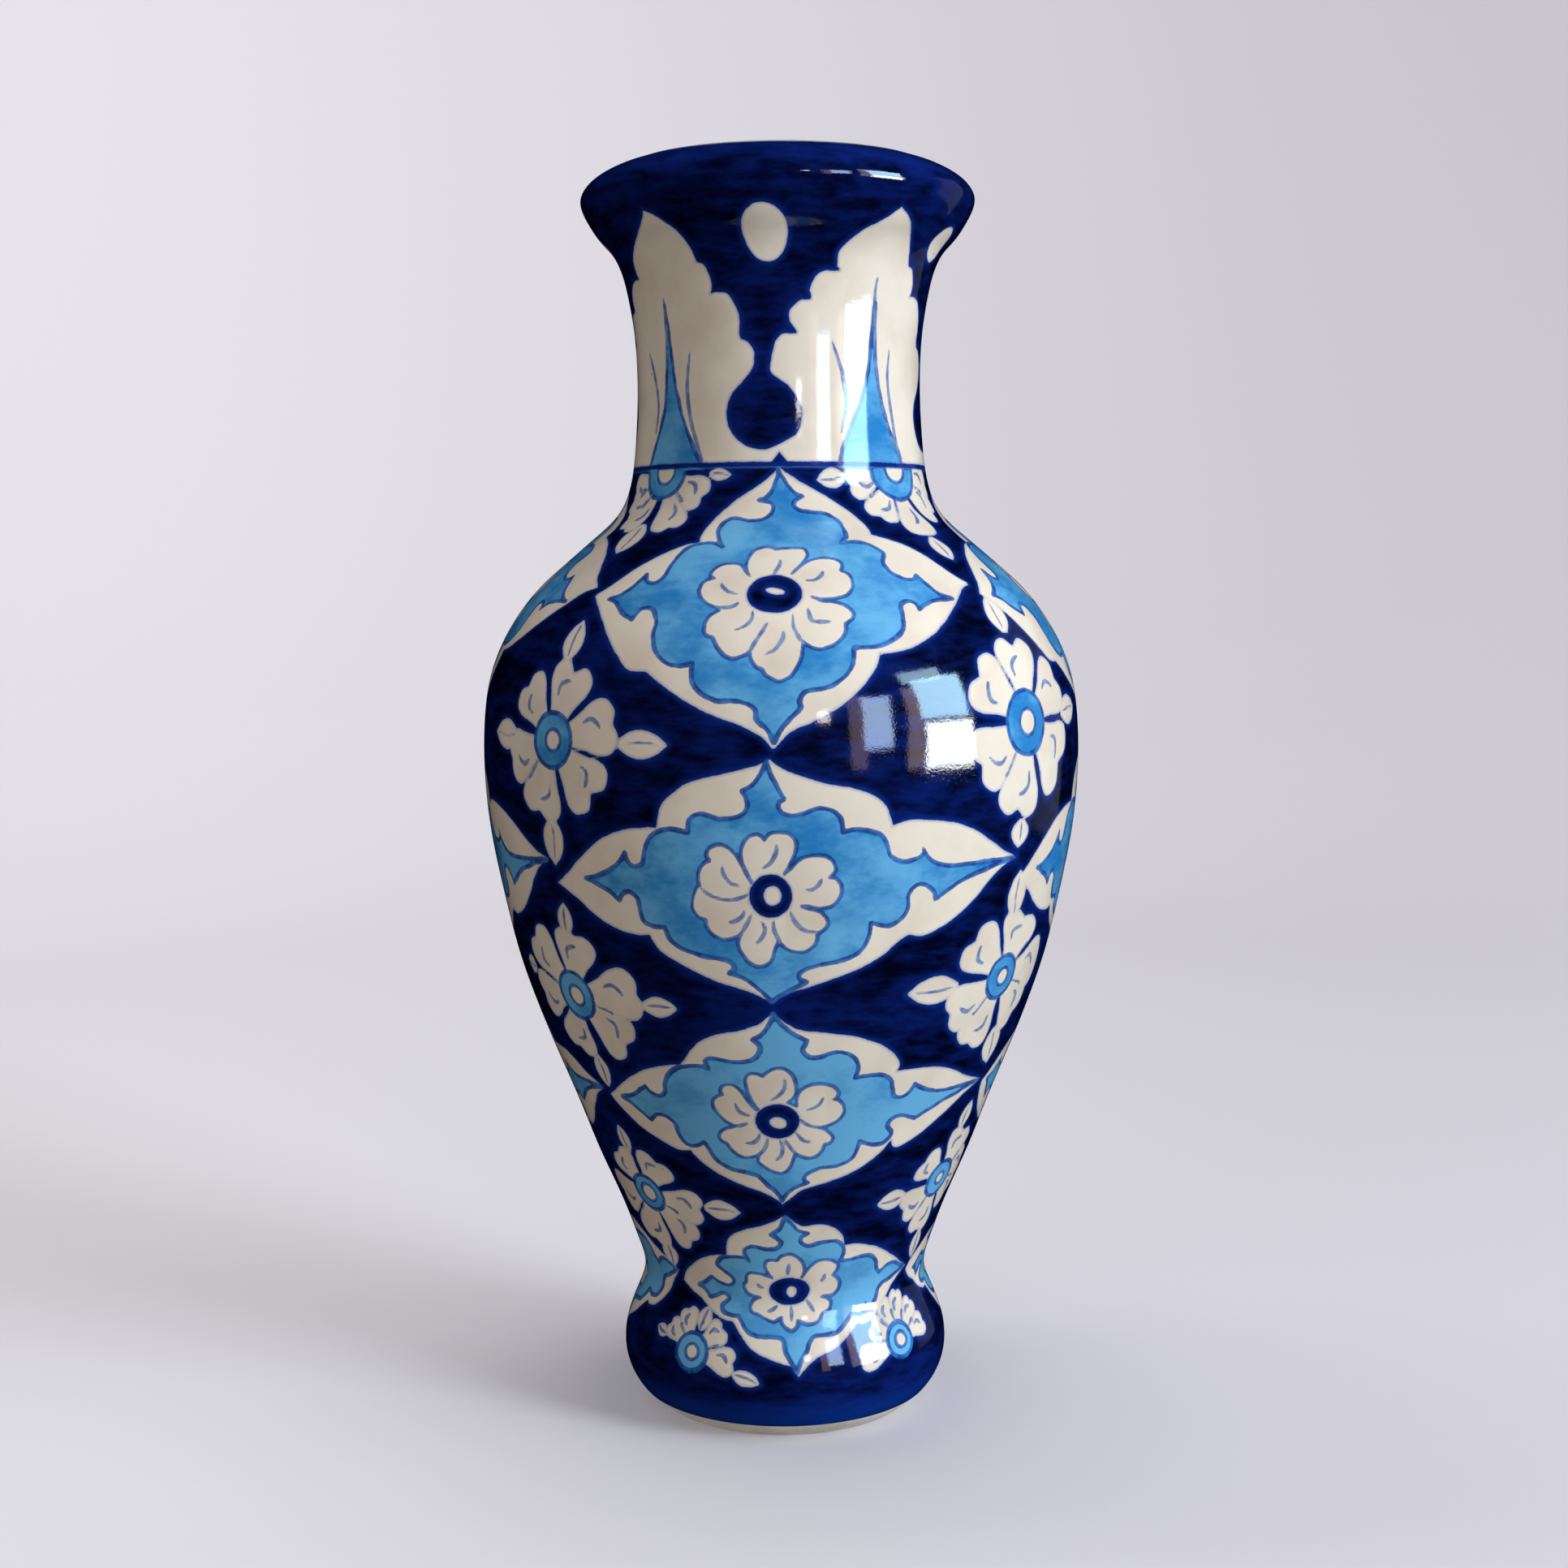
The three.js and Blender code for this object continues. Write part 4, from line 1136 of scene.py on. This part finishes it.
def painted_glaze():
    """Painting in cobalt and sky blue on white slip, under a clear, slightly wavy, pitted glaze."""
    glaze = Finish("painted_glaze", IOR=1.5, Coat_Weight=0.0)
    wander = (glaze.noise(0.9, 2) - 0.5) * 0.26 + (glaze.noise(3.5, 1) - 0.5) * 0.4
    fields = {name: glaze.field(name) + wander for name in LAYERS}
    height = glaze.add("ShaderNodeSeparateXYZ", inputs={0: glaze.place()}, output="Z")

    # Cobalt ground: brushed round the pot in overlapping strokes, paler on the lip's top as a painted sheen,
    # and paler and bluer towards the foot.
    strokes = glaze.noise(9, 4, 0.6, stretch=(1, 1, 3.2))
    pools = glaze.noise(26, 3, 0.55)
    load = glaze.step(strokes * 0.6 + pools * 0.4, 0.36, 0.68)
    worn = glaze.step(height + (glaze.noise(3, 3) - 0.5) * 0.0012, 0.3038, 0.3049)
    # Painted sheen: the cobalt turns paler where the lip faces up. It also turns paler in a band towards the
    # foot.
    lip_sheen_and_paler_foot = glaze.step(height, 0.2975, 0.3035).most(1 - glaze.step(height, 0.006, 0.016))
    white = fields["cream"].least(0 - fields["cobalt"])
    halo = glaze.step(white, -2.2, 0.1)
    load = (load * 0.75 + lip_sheen_and_paler_foot * 0.5).least(1.0)
    cobalt_colour = glaze.blend(colour(2, 6, 32), colour(14, 38, 124), load)
    cobalt_colour = glaze.blend(cobalt_colour, colour(14, 54, 156), halo * halo * 0.8)
    at_foot = 1 - glaze.step(height, 0.005, 0.013)
    cobalt_colour = glaze.blend(cobalt_colour, colour(12, 62, 170), at_foot * 0.7)
    cobalt_colour = glaze.blend(cobalt_colour, colour(130, 160, 205), worn * 0.85)

    # White slip: warm, a little uneven, with rare specks of iron.
    cloud = glaze.noise(14, 3)
    cream_colour = glaze.blend(colour(238, 234, 224), colour(226, 218, 206), glaze.step(cloud, 0.35, 0.75))
    cells = {"Vector": glaze.place(), "Scale": 1 / (9 * MM)}
    from_middle = glaze.add("ShaderNodeTexVoronoi", inputs=cells, output="Distance")
    speck = (1 - glaze.step(from_middle, 0.022, 0.04)) * glaze.step(glaze.noise(11, 0), 0.5, 0.54)
    cream_colour = glaze.blend(cream_colour, colour(120, 100, 84), speck * 0.8)

    # Sky blue: a wash, with brush streaks and paler pools, and paler again on the lower panels.
    streaks = glaze.noise(3, 3, 0.6, stretch=(1, 1, 2))
    wash = glaze.noise(17, 4, 0.55, stretch=(1, 1, 1.4)) * 0.8 + streaks * 0.2
    paleness = glaze.step(wash, 0.34, 0.66) + (1 - glaze.step(height, 0.085, 0.135)) * 0.45
    sky_colour = glaze.blend(colour(44, 134, 210), colour(108, 188, 244), paleness.least(1.0))

    # Brush lines: blue round the wash and the petals, and a paler one for the veins.
    uneven = glaze.step(glaze.noise(2.6, 2), 0.35, 0.7)
    outline_colour = glaze.blend(colour(18, 66, 156), colour(50, 122, 206), uneven)
    thinned = glaze.step(glaze.noise(1.8, 2), 0.3, 0.7)
    vein_colour = glaze.blend(colour(62, 104, 176), colour(128, 158, 206), thinned)

    # Laid one over another: slip with cobalt bleeding into its edge, wash, petals, veins, cobalt again.
    paint = glaze.blend(cobalt_colour, cream_colour, glaze.step(fields["cream"], -0.16, 0.16))
    bleed = glaze.step(fields["cream"], -0.1, 0.1) * (1 - glaze.step(fields["cream"], 0.1, 0.8))
    paint = glaze.blend(paint, colour(110, 150, 205), bleed * 0.4)
    paint = glaze.blend(paint, sky_colour, glaze.step(fields["sky"], -0.12, 0.12))
    pen = 0.2 + glaze.noise(7, 1) * 0.5
    ring = 1 - glaze.step(abs(fields["sky"] - 0.05) - pen, 0.0, 0.24)
    paint = glaze.blend(paint, outline_colour, ring * 0.92)
    paint = glaze.blend(paint, cream_colour, glaze.step(fields["petal"], -0.12, 0.12))
    petal_ring = 1 - glaze.step(abs(fields["petal"] + 0.08) - pen * 0.8, 0.0, 0.22)
    paint = glaze.blend(paint, outline_colour, petal_ring * 0.85)
    paint = glaze.blend(paint, vein_colour, glaze.step(fields["line"], -0.14, 0.14) * 0.9)
    drop_halo = glaze.step(fields["cobalt"], -0.7, -0.1) * (1 - glaze.step(fields["cobalt"], -0.1, 0.1))
    paint = glaze.blend(paint, colour(96, 136, 200), drop_halo * 0.35)
    paint = glaze.blend(paint, cobalt_colour, glaze.step(fields["cobalt"], -0.16, 0.16))
    glaze.feed("Base Color", paint)

    # The glaze: rougher in its pits, and wavy.
    pits = glaze.noise(0.7, 3, 0.7)
    glaze.feed("Roughness", 0.05 + glaze.step(pits, 0.5, 0.8) * 0.12)
    glaze.bump(glaze.noise(18, 1) * 0.13 + glaze.noise(5, 1) * 0.016 + glaze.noise(0.55, 2) * 0.009)
    return glaze.material


def bare_clay():
    """Unglazed fired clay: pale, matt, with a fine grain and darker rubs, made lighter and bluer than the
    clay itself as painted light from the floor.
    """
    clay = Finish("bare_clay", Roughness=0.8)
    grain = clay.noise(0.5, 4, 0.7)
    rub = clay.noise(6, 3)
    dark = clay.step(rub * 0.6 + grain * 0.4, 0.35, 0.7)
    # Painted light: the pale bluish white stands in for light bounced up from the floor onto the clay.
    clay.feed("Base Color", clay.blend(colour(246, 248, 252), colour(224, 222, 220), dark))
    clay.bump(grain * 0.05)
    return clay.material


def white_glaze():
    """The clear glaze over white slip inside the pot."""
    glaze = Finish("white_glaze", Roughness=0.12)
    cloud = glaze.step(glaze.noise(12, 3), 0.35, 0.7)
    glaze.feed("Base Color", glaze.blend(colour(228, 222, 208), colour(214, 204, 190), cloud))
    glaze.bump(glaze.noise(9, 2) * 0.03)
    return glaze.material


def dried_slip():
    """Slip that fired in the joints: coarse, matt and a little darker than the clay."""
    slip = Finish("dried_slip", Roughness=0.92)
    grain = slip.noise(0.8, 4, 0.7)
    dark = slip.step(grain, 0.35, 0.7)
    slip.feed("Base Color", slip.blend(colour(196, 182, 160), colour(160, 146, 124), dark))
    slip.bump(grain * 0.08)
    return slip.material


def studio_paper():
    """Pale seamless paper with painted light: lighter on the left and darker to the right, and a faint
    painted glow that is stronger on the left.
    """
    paper = Finish("studio_paper", Roughness=0.9, Emission_Strength=1.0)
    where = paper.place()
    x = paper.add("ShaderNodeSeparateXYZ", inputs={0: where}, output="X")
    y = paper.add("ShaderNodeSeparateXYZ", inputs={0: where}, output="Y")
    # Painted shade: the paper darkens from left to right. Its emission is a painted glow that stands in for
    # fill light.
    side = paper.step(x / abs(y + 0.65).most(0.2), -0.34, 0.34)
    paper.feed("Base Color", paper.blend(colour(237, 236, 242), colour(218, 217, 226), side))
    paper.feed("Emission Color", paper.blend((0.07, 0.085, 0.11, 1), (0.02, 0.03, 0.05, 1), side))
    return paper.material


# ---------------------------------------------------------------- studio

MIDDLE = (0, 0, 0.17)  # the pot's middle, which the lamps face, in metres
AIM = {"overhead": (0.3, -0.19, 0), "sweep_wash": (-0.7, 1.9, 0.5)}  # the lamps that face somewhere else
PANE_DISTANCE = 1.68  # metres from the middle of the pot to a mirrored pane


def backdrop():
    """A round seamless cove: a flat floor disc, then a quarter-circle of radius bend up to an upright wall,
    turned about the pot's axis."""
    flat, bend, height = 0.7, 1.6, 3.6  # metres
    sides = 96
    arc = np.linspace(0, math.pi / 2, 40)
    radius = np.concatenate([[0.02, 0.2, 0.45], flat + bend * np.sin(arc), [flat + bend]])
    z = np.concatenate([np.zeros(3), bend * (1 - np.cos(arc)), [height]])
    turn = np.arange(sides) * 2 * math.pi / sides
    places = np.stack([radius[:, None] * np.sin(turn), -radius[:, None] * np.cos(turn),
                       np.broadcast_to(z[:, None], (len(z), sides))], -1).reshape(-1, 3)
    k, j = np.meshgrid(np.arange(len(z) - 1), np.arange(sides), indexing="ij")
    right = (j + 1) % sides
    quads = np.stack([k * sides + j, (k + 1) * sides + j, (k + 1) * sides + right, k * sides + right], -1)
    mesh = bpy.data.meshes.new("backdrop")
    mesh.from_pydata(places.tolist(), [], quads.reshape(-1, 4).tolist() + [list(range(sides))])
    mesh.polygons.foreach_set("use_smooth", np.ones(len(mesh.polygons), bool))
    mesh.materials.append(studio_paper())
    sheet = bpy.data.objects.new("backdrop", mesh)
    bpy.context.collection.objects.link(sheet)
    sheet.visible_glossy = False  # the pale cove neither shows in the glaze nor lights the pot
    sheet.visible_diffuse = False


def lamp(name, place, size, radiance, tint, glossy):
    """A rectangular lamp of a given radiance, facing the middle of the pot. A glossy one is only mirrored
    in the glaze; the others only light what they reach."""
    light = bpy.data.lights.new(name, "AREA")
    light.shape = "RECTANGLE"
    light.size, light.size_y = size
    light.energy = radiance * math.pi * size[0] * size[1]
    light.color = tint
    box = bpy.data.objects.new(name, light)
    box.location = place
    ahead = np.array(AIM.get(name, MIDDLE)) - np.array(place)
    tilt = math.atan2(ahead[2], math.hypot(ahead[0], ahead[1]))
    box.rotation_euler = (math.pi / 2 + tilt, 0, math.atan2(ahead[1], ahead[0]) - math.pi / 2)
    box.visible_glossy = glossy
    box.visible_diffuse = not glossy
    box.visible_camera = False
    bpy.context.collection.objects.link(box)


def mirrored(name, azimuth, elevation, wide, high, radiance, tint):
    """A pane that the glaze mirrors, placed by angles seen from the middle of the pot: azimuth from the
    front to the right, elevation, and its width and height."""
    turn, rise = math.radians(azimuth), math.radians(elevation)
    flat = PANE_DISTANCE * math.cos(rise)
    place = (flat * math.sin(turn), -flat * math.cos(turn), MIDDLE[2] + PANE_DISTANCE * math.sin(rise))
    size = [2 * PANE_DISTANCE * math.tan(math.radians(angle / 2)) for angle in (wide, high)]
    lamp(name, place, size, radiance, tint, True)


def studio_light():
    """A window on the right, seen in the glaze as a few panes between warm curtains, and soft lamps."""
    mirrored("pane_sky", 63.2, 16.8, 21, 19, 21, (0.45, 0.76, 1.0))
    mirrored("pane_white", 64.5, 0.6, 21, 11, 26, (0.96, 0.99, 1.0))
    mirrored("pane_top", 57.7, 28, 17, 6, 11, (0.5, 0.75, 1.0))
    mirrored("pane_left", 35.5, 10, 10.5, 18, 14, (0.48, 0.66, 1.0))
    mirrored("curtain_right", 50, 9, 6, 27, 3.0, (1.0, 0.74, 0.64))
    mirrored("curtain_left", 28, 8, 6, 24, 1.8, (1.0, 0.7, 0.7))
    mirrored("far_lamp", 15.5, 10.5, 4, 5, 16, (1.0, 0.93, 0.86))
    mirrored("room_edge", 120, 8, 26, 44, 0.2, (0.78, 0.86, 1.0))
    lamp("key", (1.34, -0.84, 0.60), (0.52, 0.48), 20.5, (0.90, 0.96, 1.0), False)
    lamp("high_right", (1.7, -0.6, 1.3), (1.0, 1.0), 3.0, (1.0, 0.98, 0.95), False)
    lamp("front_right", (0.8, -1.9, 0.35), (1.2, 1.2), 2.9, (1.0, 0.97, 0.93), False)
    lamp("front_left", (-1.1, -1.8, 0.6), (1.4, 1.4), 0.8, (1.0, 0.84, 0.7), False)
    lamp("overhead", (0.3, -0.2, 2.5), (1.8, 1.8), 0.9, (1.0, 0.98, 1.0), False)
    lamp("sweep_wash", (-0.5, 0.5, 2.3), (3.0, 0.8), 3.3, (1.0, 0.98, 1.0), False)
    world = bpy.data.worlds.new("room")
    world.use_nodes = True
    sky = world.node_tree.nodes["Background"]
    sky.inputs["Color"].default_value = (1.0, 0.86, 0.76, 1)
    sky.inputs["Strength"].default_value = 0.24
    world.cycles_visibility.glossy = False
    bpy.context.scene.world = world
    bpy.context.scene.view_settings.view_transform = "Standard"


# ---------------------------------------------------------------- assembly

def build_vase():
    """Glazed sections stand for the frame's own, and the slip in the joints and the floor disc stay."""
    glaze, clay, slip, inside = painted_glaze(), bare_clay(), dried_slip(), white_glaze()
    for number, (node, spacing) in enumerate(SECTIONS.items()):
        piece = section(number, node, spacing)
        bare = node == "foot_ring"
        piece.data.materials.append(clay if bare else glaze)
        piece.data.materials.append(clay)
        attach(piece, "root")
        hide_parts(node)
    for node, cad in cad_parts.items():
        if node in SECTIONS:
            continue
        finish = inside if node == "base_floor" else slip
        for slot in cad.material_slots:
            slot.material = finish


camera()
build_vase()
backdrop()
studio_light()
